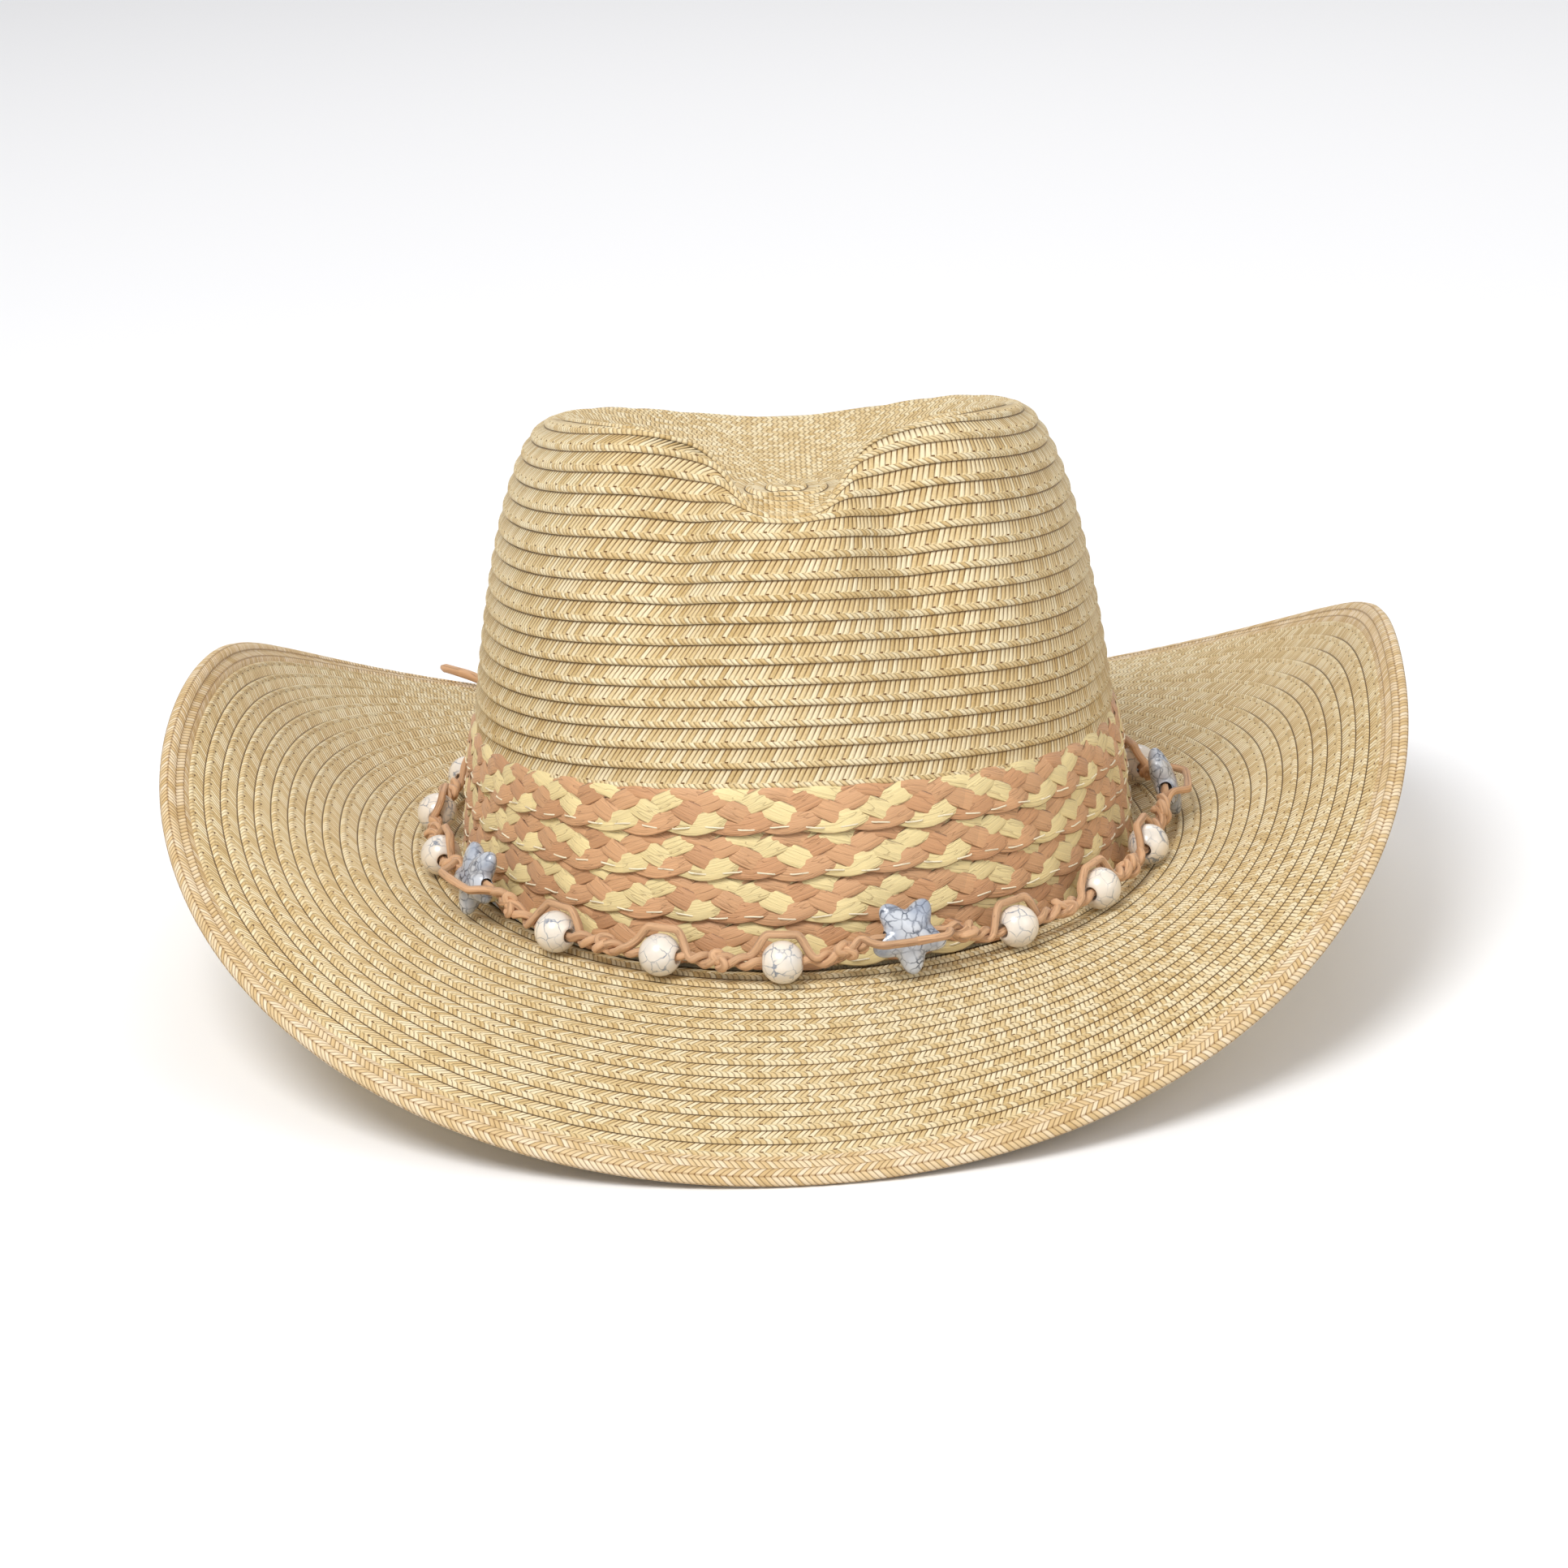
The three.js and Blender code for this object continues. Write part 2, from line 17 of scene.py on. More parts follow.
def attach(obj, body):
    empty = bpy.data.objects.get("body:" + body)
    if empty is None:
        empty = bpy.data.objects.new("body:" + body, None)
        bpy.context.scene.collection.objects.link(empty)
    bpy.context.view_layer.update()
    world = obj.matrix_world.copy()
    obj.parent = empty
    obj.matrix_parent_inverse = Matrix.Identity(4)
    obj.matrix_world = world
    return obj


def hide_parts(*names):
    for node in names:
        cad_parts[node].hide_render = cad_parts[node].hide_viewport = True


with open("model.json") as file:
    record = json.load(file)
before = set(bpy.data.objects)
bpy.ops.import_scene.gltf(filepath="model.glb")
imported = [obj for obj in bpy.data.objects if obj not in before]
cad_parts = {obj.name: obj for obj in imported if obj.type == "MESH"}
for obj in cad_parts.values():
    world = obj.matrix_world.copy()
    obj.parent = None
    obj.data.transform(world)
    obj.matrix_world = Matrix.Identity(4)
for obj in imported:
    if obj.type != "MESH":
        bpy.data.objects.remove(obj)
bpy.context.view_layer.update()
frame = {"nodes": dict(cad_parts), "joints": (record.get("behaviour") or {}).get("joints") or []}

# %% [markdown]
# ## Camera
# The hat is seen from the front and a little above, from about an arm's length and a half, with a long
# lens, so that the crown and the brim keep their proportions. The camera could be aimed with a
# constraint, but a matrix made from its own three directions also holds the slight roll.

# %% Camera
MM = 0.001
FOOT_CENTRE = (0.8, -0.55, 20.55)  # centre of the head oval, mm
VIEW_DISTANCE = 1150.0
VIEW_ELEVATION = math.radians(18.5)
VIEW_ROLL = math.radians(2.0)
LENS = 105.4
AIM_OFFSET = (-3.1, 0.0, 14.0)  # the aim point from the centre of the head oval

aim = Vector(FOOT_CENTRE) + Vector(AIM_OFFSET)
look = Vector((0, math.cos(VIEW_ELEVATION), -math.sin(VIEW_ELEVATION)))
level_up = Vector((0, math.sin(VIEW_ELEVATION), math.cos(VIEW_ELEVATION)))
side = Vector((1, 0, 0))
right = math.cos(VIEW_ROLL) * side - math.sin(VIEW_ROLL) * level_up
up = math.sin(VIEW_ROLL) * side + math.cos(VIEW_ROLL) * level_up
turn = Matrix((right, up, -look)).transposed().to_4x4()
bpy.ops.object.camera_add()
camera = bpy.context.object
camera.name = "camera"
camera.matrix_world = Matrix.Translation((aim - VIEW_DISTANCE * look) * MM) @ turn
camera.data.lens = LENS
camera.data.sensor_width = 36
bpy.context.scene.camera = camera
print("camera at", [round(x, 3) for x in camera.matrix_world.translation])

# %% [markdown]
# ## Grids that become surfaces
# Straw rows, ribbons and cords are all long strips with a pattern that runs along them. Each one starts
# as a grid primitive, because a grid brings an even UV map with it. Its points are then moved onto the
# strip's own surface by a formula, which no operator could do, and operators close the seams.

# %% A grid laid on a surface
def lay_grid(name, around, across, place):
    """A grid with `around` by `across` faces. place(i, j) gives, for the points' two whole numbers,
    their places in mm and their UV, in mm along the strip and in rows across it."""
    bpy.ops.object.select_all(action="DESELECT")
    bpy.ops.mesh.primitive_grid_add(x_subdivisions=around, y_subdivisions=across, size=2, calc_uvs=True)
    piece = bpy.context.object
    piece.name = name
    mesh = piece.data
    mesh.name = name
    flat = np.empty(len(mesh.vertices) * 3)
    mesh.vertices.foreach_get("co", flat)
    flat = flat.reshape(-1, 3)
    i = np.rint((flat[:, 0] + 1) / 2 * around).astype(int)
    j = np.rint((flat[:, 1] + 1) / 2 * across).astype(int)
    points, pattern = place(i, j)
    mesh.vertices.foreach_set("co", (points * MM).ravel())
    corner = np.empty(len(mesh.loops), int)
    mesh.loops.foreach_get("vertex_index", corner)
    mesh.uv_layers[0].data.foreach_set("uv", pattern[corner].ravel())
    mesh.update()
    return piece


def volume(mesh):
    """Volume inside a closed mesh: negative if its faces point inwards."""
    mesh.calc_loop_triangles()
    points = np.empty(len(mesh.vertices) * 3)
    mesh.vertices.foreach_get("co", points)
    corners = np.empty(len(mesh.loop_triangles) * 3, int)
    mesh.loop_triangles.foreach_get("vertices", corners)
    a, b, c = points.reshape(-1, 3)[corners.reshape(-1, 3)].transpose(1, 0, 2)
    return float(np.einsum("ij,ij->i", a, np.cross(b, c)).sum() / 6)


def close_up(piece, parts=()):
    """Joins parts to the piece, merges the seams, turns the faces outwards and smooths them."""
    bpy.ops.object.select_all(action="DESELECT")
    for part in (piece, *parts):
        part.select_set(True)
    bpy.context.view_layer.objects.active = piece
    if parts:
        bpy.ops.object.join()
    bpy.ops.object.mode_set(mode="EDIT")
    bpy.ops.mesh.select_all(action="SELECT")
    bpy.ops.mesh.remove_doubles(threshold=2e-6)
    if volume(piece.data) < 0:
        bpy.ops.mesh.flip_normals()
    bpy.ops.object.mode_set(mode="OBJECT")
    if volume(piece.data) < 0:
        bpy.ops.object.mode_set(mode="EDIT")
        bpy.ops.mesh.select_all(action="SELECT")
        bpy.ops.mesh.flip_normals()
        bpy.ops.object.mode_set(mode="OBJECT")
    bpy.ops.object.shade_smooth()
    faces = len(piece.data.loop_triangles)
    print(f"{piece.name}: {faces} triangles, {volume(piece.data) * 1e6:.2f} cm3")
    return piece


def unit(vectors):
    return vectors / np.maximum(np.linalg.norm(vectors, axis=-1, keepdims=True), 1e-12)


def surface_normals(points):
    """Normals of a closed strip of points[around, across]."""
    along = np.roll(points, -1, axis=0) - np.roll(points, 1, axis=0)
    return unit(np.cross(along, np.gradient(points, axis=1)))


# %% [markdown]
# ## The hat's shape
# The CAD model's surfaces are plain formulas of the angle round the hat, measured from the front. They
# are repeated here, because the fine straw rows have to lie on exactly those surfaces.

# %% Shape of the foot, the crown and the brim, in mm
FOOT_X, FOOT_Y, FOOT_Z = FOOT_CENTRE
FOOT_A, FOOT_B, FOOT_RISE = 82.5, 98.5, 2.1
CREST_A, CREST_B, CREST_Y, CREST_NARROWING = 55.0, 73.0, -3.9, 0.12
CREST_HEIGHTS = (106.2, 8.6, -7.0, -2.6, -2.0)
DENT_TIP = (0.0, 3.2, 91.0)
WALL_LEAN = 4.0
SHOULDER_HANDLE = 0.52  # how far the wall's curve leans over before the top edge
DENT_HANDLE = 12  # the dent leaves the top edge level for about this far
DENT_FLOOR_SHARE, DENT_FLOOR_DROP = 0.6, 2
PINCH_FADE = 0.6  # the finger dents die away over this share of the dent
PINCH_DEPTH, PINCH_ANGLE, PINCH_SPREAD, PINCH_FROM, PINCH_TO = 12.0, 27.0, 11.5, 40.0, 105.0
SHOULDER_HEIGHT, SHOULDER_ANGLE, SHOULDER_SPREAD = 5.0, 38.0, 17.0
BRIM_WIDTH, BRIM_WAVE, BRIM_SKEW = 76.8, -1.9, -4.4
BRIM_MEAN, BRIM_SIDE, BRIM_CORNER, BRIM_REAR = 12.2, -31.3, 2.0, -1.3
BRIM_LEAVES, BRIM_ARRIVES = 0.35, 1.5  # slopes at the foot and the edge, as shares of the mean slope
BRAID_T = 1.8
GAP = 0.3


def vec(x, y, z):
    return np.stack(np.broadcast_arrays(x, y, z), axis=-1).astype(float)


def smooth(t):
    t = np.clip(t, 0, 1)
    return t * t * (3 - 2 * t)


def bezier(p0, p1, p2, p3, t):
    """Points at the shares t of many curves at once: the corners are [curve, 3]."""
    t = np.asarray(t)[None, :, None]
    p0, p1, p2, p3 = (p[:, None, :] for p in (p0, p1, p2, p3))
    return (1 - t) ** 3 * p0 + 3 * t * (1 - t) ** 2 * p1 + 3 * t * t * (1 - t) * p2 + t**3 * p3


def foot_normal(phi):
    return unit(vec(np.sin(phi) / FOOT_A, -np.cos(phi) / FOOT_B, 0.0))


def foot(phi, out=0.0):
    point = vec(FOOT_X + FOOT_A * np.sin(phi), FOOT_Y - FOOT_B * np.cos(phi), 0.0)
    point = point + out * foot_normal(phi)
    point[..., 2] = FOOT_Z - FOOT_RISE * (point[..., 1] - FOOT_Y) / FOOT_B
    return point


def hump(phi, angle, spread):
    """A smooth hump on each side of the front, at the angle and with the spread in degrees."""
    turned = np.abs((np.degrees(phi) + 180) % 360 - 180)
    return np.exp(-(((turned - angle) / spread) ** 2))


def crest(phi):
    x = FOOT_X + CREST_A * np.sin(phi) * (1 - CREST_NARROWING * np.cos(phi))
    y = FOOT_Y + CREST_Y - CREST_B * np.cos(phi)
    height = sum(h * np.cos(k * phi) for k, h in enumerate(CREST_HEIGHTS))
    return vec(x, y, FOOT_Z + height + SHOULDER_HEIGHT * hump(phi, SHOULDER_ANGLE, SHOULDER_SPREAD))


def crown_lines(phi, steps=80):
    """The crown's outer face, as a line of points from foot to crest to dent tip at each angle."""
    base, top = foot(phi), crest(phi)
    middle = np.array([FOOT_X, FOOT_Y, 0.0])
    tip = np.broadcast_to(np.array([FOOT_X, FOOT_Y, FOOT_Z]) + DENT_TIP, base.shape)
    radial = unit((base - middle) * (1, 1, 0))
    over = (base - top) * (1, 1, 0)
    half = base - WALL_LEAN * radial
    half[:, 2] = (base[:, 2] + top[:, 2]) / 2
    wall = bezier(base, half, top + SHOULDER_HANDLE * over, top, np.linspace(0, 1, steps + 1))
    floor = middle + DENT_FLOOR_SHARE * (top - middle)
    floor[:, 2] = tip[:, 2] - DENT_FLOOR_DROP
    share = np.linspace(0, 1, steps + 1)[1:]
    dent = bezier(top, top - DENT_HANDLE * unit(over), floor, tip, share)
    points = np.concatenate([wall, dent], axis=1)
    depth = PINCH_DEPTH * hump(phi, PINCH_ANGLE, PINCH_SPREAD)
    high = smooth((points[..., 2] - base[:, None, 2] - PINCH_FROM) / (PINCH_TO - PINCH_FROM))
    fade = np.concatenate([np.ones(steps + 1), np.maximum(0, 1 - share / PINCH_FADE)])
    return points - (depth[:, None] * high * fade)[..., None] * radial[:, None, :]


def brim_edge(phi):
    base = foot(phi)
    lift = BRIM_MEAN + BRIM_SIDE * np.cos(2 * phi) + BRIM_CORNER * np.cos(4 * phi)
    z = FOOT_Z + lift + BRIM_REAR * (np.cos(phi) - np.cos(3 * phi))
    width = BRIM_WIDTH + BRIM_WAVE * np.cos(2 * phi) + BRIM_SKEW * np.sin(2 * phi)
    across = np.sqrt(width**2 - (z - base[..., 2]) ** 2)
    end = base + across[..., None] * foot_normal(phi)
    end[..., 2] = z
    return end


def brim_lines(phi, steps=80):
    """The brim's top face, as a line of points from the foot to the cut edge at each angle."""
    start, end = foot(phi), brim_edge(phi)
    start[:, 2] -= GAP
    length = np.linalg.norm(end - start, axis=1, keepdims=True)
    slope = np.arcsin((end - start)[:, 2:] / length)
    rise = np.array([0.0, 0.0, 1.0])
    leave = foot_normal(phi) * np.cos(BRIM_LEAVES * slope) + rise * np.sin(BRIM_LEAVES * slope)
    arrive = foot_normal(phi) * np.cos(BRIM_ARRIVES * slope) + rise * np.sin(BRIM_ARRIVES * slope)
    first, last = start + leave * length / 3, end - arrive * length / 3
    return bezier(start, first, last, end, np.linspace(0, 1, steps + 1))


def lengths(lines):
    """Distance along each line at each of its points."""
    steps = np.linalg.norm(np.diff(lines, axis=1), axis=2)
    return np.concatenate([np.zeros((len(lines), 1)), np.cumsum(steps, axis=1)], axis=1)


def along_lines(lines, reach):
    """Points at the distances reach[line, point] along each line."""
    walked = lengths(lines)
    return np.stack([
        np.stack([np.interp(reach[i], walked[i], lines[i, :, c]) for c in range(3)], axis=-1)
        for i in range(len(lines))
    ])


# %% [markdown]
# ## One row of straw braid
# The braid is 7 mm wide and each row laps over the next, so about 4.7 mm shows. Seen in section, a row
# has a rounded lower lip, the groove where the machine stitch pulls it down, and a body that dips under
# the next row's lip. That section is real geometry here. The crossing straws are finer than 1.5 mm, and
# the material adds them.

# %% Section of a row and the layout of rows
ROW_SECTION = ((0.0, 0.2), (0.05, 0.85), (0.2, 1.0), (0.31, 0.62), (0.42, 0.75), (0.97, 0.08))
HIDDEN_SECTION = ((0.0, 0.55), (0.97, 0.2))
RELIEF_SINK = 0.7  # the lips stand 0.3 mm proud of the CAD face, the grooves lie below it
STITCH_MM = 5.4
CROWN_ROW = 4.8
BRIM_ROW = 4.5


def row_marks(first, count, section):
    """Row number plus place in the row, and the height there, for rows first to first + count."""
    marks = [(row + t, height - RELIEF_SINK) for row in range(first, first + count) for t, height in section]
    return np.array(marks)


def pattern_along(points, rows):
    """Distance round the hat in mm at each point, stretched so that whole stitches fit every row."""
    closed = np.concatenate([points, points[:1]])
    steps = np.linalg.norm(np.diff(closed, axis=0), axis=2)
    walked = np.concatenate([np.zeros((1, points.shape[1])), np.cumsum(steps, axis=0)])
    same_row = [np.flatnonzero(rows == row) for row in rows]
    middle = np.array([members[len(members) // 2] for members in same_row])
    walked = walked[:, middle]
    whole = np.maximum(1, np.rint(walked[-1] / STITCH_MM)) * STITCH_MM
    return walked / np.maximum(walked[-1], 1e-9) * whole


def strip(name, points, marks, reverse=False):
    """A closed strip round the hat from points[around, across]."""
    around, across = points.shape[0], points.shape[1] - 1
    travelled = pattern_along(points, np.floor(marks[:, 0]))

    def place(i, j):
        k = i if not reverse else around - i
        return points[k % around, j], np.stack([travelled[k, j], marks[j, 0]], axis=-1)

    return lay_grid(name, around, across, place)


# %% [markdown]
# ## Crown
# The crown's rows follow the band at the bottom and close up to the middle of the dent at the top. So
# the rows just above the band keep their true width, and those near the top share what is left. The
# inside is the same shell one braid further in, with plainer rows, because only the lining side shows.

# %% Crown braid
CROWN_AROUND = 360
BAND_ROWS = 8
BAND_HEIGHTS = (37.0, 1.0, 4.5)


def band_height(phi):
    return sum(h * np.cos(k * phi) for k, h in enumerate(BAND_HEIGHTS))


phi = np.arange(CROWN_AROUND) * 2 * math.pi / CROWN_AROUND
lines = crown_lines(phi)
total = lengths(lines)[:, -1]
start = band_height(phi)
crown_rows = int(round(float(np.mean(total - start)) / CROWN_ROW))
marks = np.concatenate([
    row_marks(0, BAND_ROWS, HIDDEN_SECTION),
    row_marks(BAND_ROWS, crown_rows, ROW_SECTION),
    [[BAND_ROWS + crown_rows, 0.2 - RELIEF_SINK]],
])
below = marks[:, 0] < BAND_ROWS
share = np.clip((marks[:, 0] - BAND_ROWS) / crown_rows, 0, 1)
stretch = (CROWN_ROW * crown_rows / (total - start))[:, None]
reach = np.where(
    below,
    start[:, None] * marks[:, 0] / BAND_ROWS,
    start[:, None] + (total - start)[:, None] * (stretch * share + (1 - stretch) * share**3),
)
face = along_lines(lines, reach)
normals = surface_normals(face)
normals[:, -1] = (0, 0, 1)
outer = face + normals * marks[:, 1][:, None]
outer[:, -1] = outer[:, -1].mean(axis=0)

inner_rows = BAND_ROWS + crown_rows
inner_marks = np.concatenate([row_marks(0, inner_rows, HIDDEN_SECTION), [[inner_rows, 0.2 - RELIEF_SINK]]])
picks = np.interp(inner_marks[:, 0], marks[:, 0], np.arange(len(marks)))
inner_face = np.stack([
    np.stack([np.interp(picks, np.arange(len(marks)), face[i, :, c]) for c in range(3)], axis=-1)
    for i in range(CROWN_AROUND)
])
inner_normals = surface_normals(inner_face)
inner_normals[:, -1] = (0, 0, 1)
inner = inner_face - inner_normals * (BRAID_T + inner_marks[:, 1][:, None] * 0.5)
inner[:, -1] = inner[:, -1].mean(axis=0)
inner = np.concatenate([outer[:, :1], inner], axis=1)
inner_marks = np.concatenate([inner_marks[:1], inner_marks])

crown = strip("crown_braid", outer, marks)
crown_inside = strip("crown_inside", inner, inner_marks, reverse=True)
close_up(crown, [crown_inside])
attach(crown, "hat")
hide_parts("crown")
print(f"crown: {crown_rows} rows above the band")

# %% [markdown]
# ## Brim
# The brim is the same braid carried on outwards. Its rows are laid from the folded edge inwards, each
# inner row lapping over the next one out. The top and the underside are one closed strip.

# %% Brim braid
BRIM_AROUND = 480
EDGE_LAP = 4.0  # the folded row's top face starts this far inside the cut edge

phi = np.arange(BRIM_AROUND) * 2 * math.pi / BRIM_AROUND
lines = brim_lines(phi)
total = lengths(lines)[:, -1]
brim_rows = int(round(float(np.mean(total) - EDGE_LAP) / BRIM_ROW))
marks = np.concatenate([row_marks(0, brim_rows, ROW_SECTION), [[brim_rows, 0.2 - RELIEF_SINK]]])
reach = total[:, None] - EDGE_LAP - (total[:, None] - EDGE_LAP) * marks[:, 0] / brim_rows
lapped = np.array([[-1.0, -0.5], [-0.5, -0.5]])
marks = np.concatenate([lapped, marks])
reach = np.concatenate([total[:, None], total[:, None] - EDGE_LAP / 2, reach], axis=1)
reach = np.clip(reach, 0, total[:, None])
face = along_lines(lines, reach)
tops = surface_normals(face)
top = face + tops * marks[:, 1][:, None]

low_marks = np.concatenate([row_marks(0, brim_rows, HIDDEN_SECTION), [[brim_rows, 0.2 - RELIEF_SINK]]])
low_reach = (total[:, None] - EDGE_LAP) * (1 - low_marks[:, 0] / brim_rows)
low_marks = np.concatenate([lapped, low_marks])
low_reach = np.concatenate([total[:, None], total[:, None] - EDGE_LAP / 2, low_reach], axis=1)
low_face = along_lines(lines, np.clip(low_reach, 0, total[:, None]))
bottom = low_face - surface_normals(low_face) * (BRAID_T + low_marks[:, 1][:, None] * 0.6)
ring = np.concatenate([bottom[:, ::-1], top, bottom[:, -1:]], axis=1)
ring_marks = np.concatenate([low_marks[::-1], marks, low_marks[-1:]])
brim = strip("brim_braid", ring, ring_marks)
close_up(brim)
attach(brim, "hat")
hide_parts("brim")
print(f"brim: {brim_rows} rows")

# %% [markdown]
# ## Folded edge row
# The last row is the whole braid, folded over the edge and the wire. Because nothing laps over it, its
# full herringbone shows. It is swept round the edge from one folded section.

# %% Edge row
HERRINGBONE_MM = 2.45  # width of one leaning lane of yarns
EDGE_AROUND = 720
EDGE_SECTION = (
    (-4.6, -0.45), (-4.0, -0.05), (-3.0, 0.3), (-2.0, 0.42), (-1.1, 0.32), (-0.5, 0.12), (0.1, 0.42),
    (1.1, 0.62), (2.1, 0.45), (2.9, -0.05), (3.4, -0.9), (3.3, -1.8), (2.7, -2.5),
    (1.7, -2.9), (0.7, -2.9), (-0.1, -2.7),
    (-1.1, -2.95), (-2.4, -3.0), (-3.6, -2.8), (-4.4, -2.5), (-4.5, -2.1), (-2.0, -2.1), (0.4, -2.0),
    (2.1, -1.7), (2.5, -0.9), (2.0, -0.2), (0.4, -0.1), (-2.0, -0.1), (-4.4, -0.6),
)
section = np.array(EDGE_SECTION)
phi = np.arange(EDGE_AROUND) * 2 * math.pi / EDGE_AROUND
lines = brim_lines(phi)
total = lengths(lines)[:, -1]
reach = total[:, None] + np.minimum(section[:, 0], 0)
middle = along_lines(lines, reach)
ahead = unit(middle - along_lines(lines, reach - 1.0))
level = unit(vec(-ahead[..., 1], ahead[..., 0], 0.0))
rise = np.cross(ahead, level)
rise = rise * np.sign(rise[..., 2:])
edge = middle + ahead * np.maximum(section[:, 0], 0)[:, None] + rise * section[:, 1][:, None]
edge = np.concatenate([edge, edge[:, :1]], axis=1)
girth = np.concatenate([[0], np.cumsum(np.linalg.norm(np.diff(edge[0], axis=0), axis=1))])
edge_marks = np.stack([girth / HERRINGBONE_MM, girth * 0], axis=-1)
travelled = pattern_along(edge, np.zeros(edge.shape[1]))


def edge_place(i, j):
    return edge[i % EDGE_AROUND, j], np.stack([travelled[i, j], edge_marks[j, 0]], axis=-1)


edge_row = lay_grid("edge_braid", EDGE_AROUND, edge.shape[1] - 1, edge_place)
close_up(edge_row)
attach(edge_row, "hat")
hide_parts("brim_edge_row")

# %% [markdown]
# ## Sweatband
# Inside the foot of the crown a cotton tape touches the wearer's head. It is a plain band of cloth, so
# it is a thin closed strip, pressed against the braid all round.

# %% Sweatband
TAPE_AROUND = 160
TAPE_UP, TAPE_DOWN, TAPE_T = 28.0, 2.3, 1.1
TAPE_STEPS = 10
phi = np.arange(TAPE_AROUND) * 2 * math.pi / TAPE_AROUND
lines = crown_lines(phi)
heights = np.linspace(-TAPE_DOWN, TAPE_UP, TAPE_STEPS)
tape_inset = BRAID_T + GAP + 0.5


def tape_face(inset):
    """The tape's face at an inset from the crown's outer face."""
    wall = along_lines(lines, np.broadcast_to(np.maximum(heights, 0), (TAPE_AROUND, TAPE_STEPS)))
    face = wall - inset * foot_normal(phi)[:, None, :]
    face[..., 2] = foot(phi)[:, None, 2] + heights
    return face


outside, inside = tape_face(tape_inset), tape_face(tape_inset + TAPE_T)
loop = np.concatenate([outside, inside[:, ::-1], outside[:, :1]], axis=1)
tape_marks = np.concatenate([heights, heights[::-1] + TAPE_UP, heights[:1]])
tape = strip("sweatband_tape", loop, np.stack([tape_marks / 100, tape_marks], axis=-1))
close_up(tape)
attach(tape, "hat")
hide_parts("sweatband")

# %% [markdown]
# ## Cords as tubes
# A raffia cord is a strip of leaf rolled up, so it is not round and not even. Its tube is swept along a
# line with a frame that turns as little as it can, and its radius changes a little round and along it.

# %% A tube along a line
def carried_frames(path, closed):
    """Two directions across the path at each point, carried along it without twisting."""
    ahead = np.roll(path, -1, axis=0) - np.roll(path, 1, axis=0)
    if not closed:
        ahead[0] = path[1] - path[0]
        ahead[-1] = path[-1] - path[-2]
    ahead = unit(ahead)
    first = np.cross(ahead[0], (0.0, 0.0, 1.0))
    if np.linalg.norm(first) < 0.1:
        first = np.cross(ahead[0], (1.0, 0.0, 0.0))
    frames = [unit(first)]
    for direction in ahead[1:]:
        frames.append(unit(frames[-1] - direction * np.dot(frames[-1], direction)))
    u = np.array(frames)
    if closed:
        end = unit(u[-1] - ahead[0] * np.dot(u[-1], ahead[0]))
        error = math.atan2(np.dot(np.cross(end, u[0]), ahead[0]), np.dot(end, u[0]))
        angle = error * np.arange(len(u)) / len(u)
        v = np.cross(ahead, u)
        u = u * np.cos(angle)[:, None] + v * np.sin(angle)[:, None]
    return u, np.cross(ahead, u)


def tube(name, path, radius, sides=10, closed=False, seed=0, ridges=0.1):
    """A raffia tube along path, in mm. Its section has soft ridges that wander along it."""
    u, v = carried_frames(path, closed)
    steps = len(path)
    walked = np.concatenate([[0], np.cumsum(np.linalg.norm(np.diff(path, axis=0), axis=1))])
    angle = np.arange(sides) * 2 * math.pi / sides
    random = np.random.default_rng(seed)
    phase = random.uniform(0, 2 * math.pi, 3)
    turning = walked[:, None] * 0.12
    lumps = 0.6 * np.sin(3 * angle + phase[0] + turning) + 0.4 * np.sin(5 * angle + phase[1] - 2 * turning)
    radii = radius * (1 - ridges + ridges * lumps) * (1 - 0.04 * np.sin(walked * 0.5 + phase[2]))[:, None]
    if not closed:
        radii[0] *= 0.5
        radii[-1] *= 0.5
    points = path[:, None] + radii[..., None] * (
        u[:, None] * np.cos(angle)[:, None] + v[:, None] * np.sin(angle)[:, None]
    )
    if not closed:
        start = np.broadcast_to(path[:1, None], (1, sides, 3))
        end = np.broadcast_to(path[-1:, None], (1, sides, 3))
        points = np.concatenate([start, points, end])
        walked = np.concatenate([[0], walked, walked[-1:]])
    else:
        walked = np.append(walked, walked[-1] + np.linalg.norm(path[0] - path[-1]))
    rows = len(points)
    spans = rows if closed else rows - 1

    def place(i, j):
        return points[i % rows, j % sides], np.stack([walked[i], 1.0 * j / sides], axis=-1)

    return lay_grid(name, spans, sides, place)


def smooth_path(points, step=1.2):
    """A Catmull-Rom curve through the points, walked in even steps."""
    p = np.array(points, float)
    p = np.concatenate([[2 * p[0] - p[1]], p, [2 * p[-1] - p[-2]]])
    t = np.linspace(0, 1, 12, endpoint=False)[:, None]
    fine = [
        0.5 * (2 * b + (c - a) * t + (2 * a - 5 * b + 4 * c - d) * t**2 + (3 * b - a - 3 * c + d) * t**3)
        for a, b, c, d in zip(p[:-3], p[1:-2], p[2:-1], p[3:])
    ]
    fine = np.concatenate([*fine, p[-2:-1]])
    walked = np.concatenate([[0], np.cumsum(np.linalg.norm(np.diff(fine, axis=0), axis=1))])
    count = max(2, int(round(walked[-1] / step)))
    even = np.linspace(0, walked[-1], count + 1)
    return np.stack([np.interp(even, walked, fine[:, c]) for c in range(3)], axis=-1)


# %% [markdown]
# ## Raffia plaits
# The band is four flat plaits of five raffia strips each, lapped over each other like shingles and
# stitched to the crown. A strip zigzags between the plait's two edges while it passes over one
# neighbour and under the next, four times in each zigzag. That path is a formula, so each strip is swept
# along it as a thin ribbon, in the plait's own flat space, and then wrapped onto the crown.

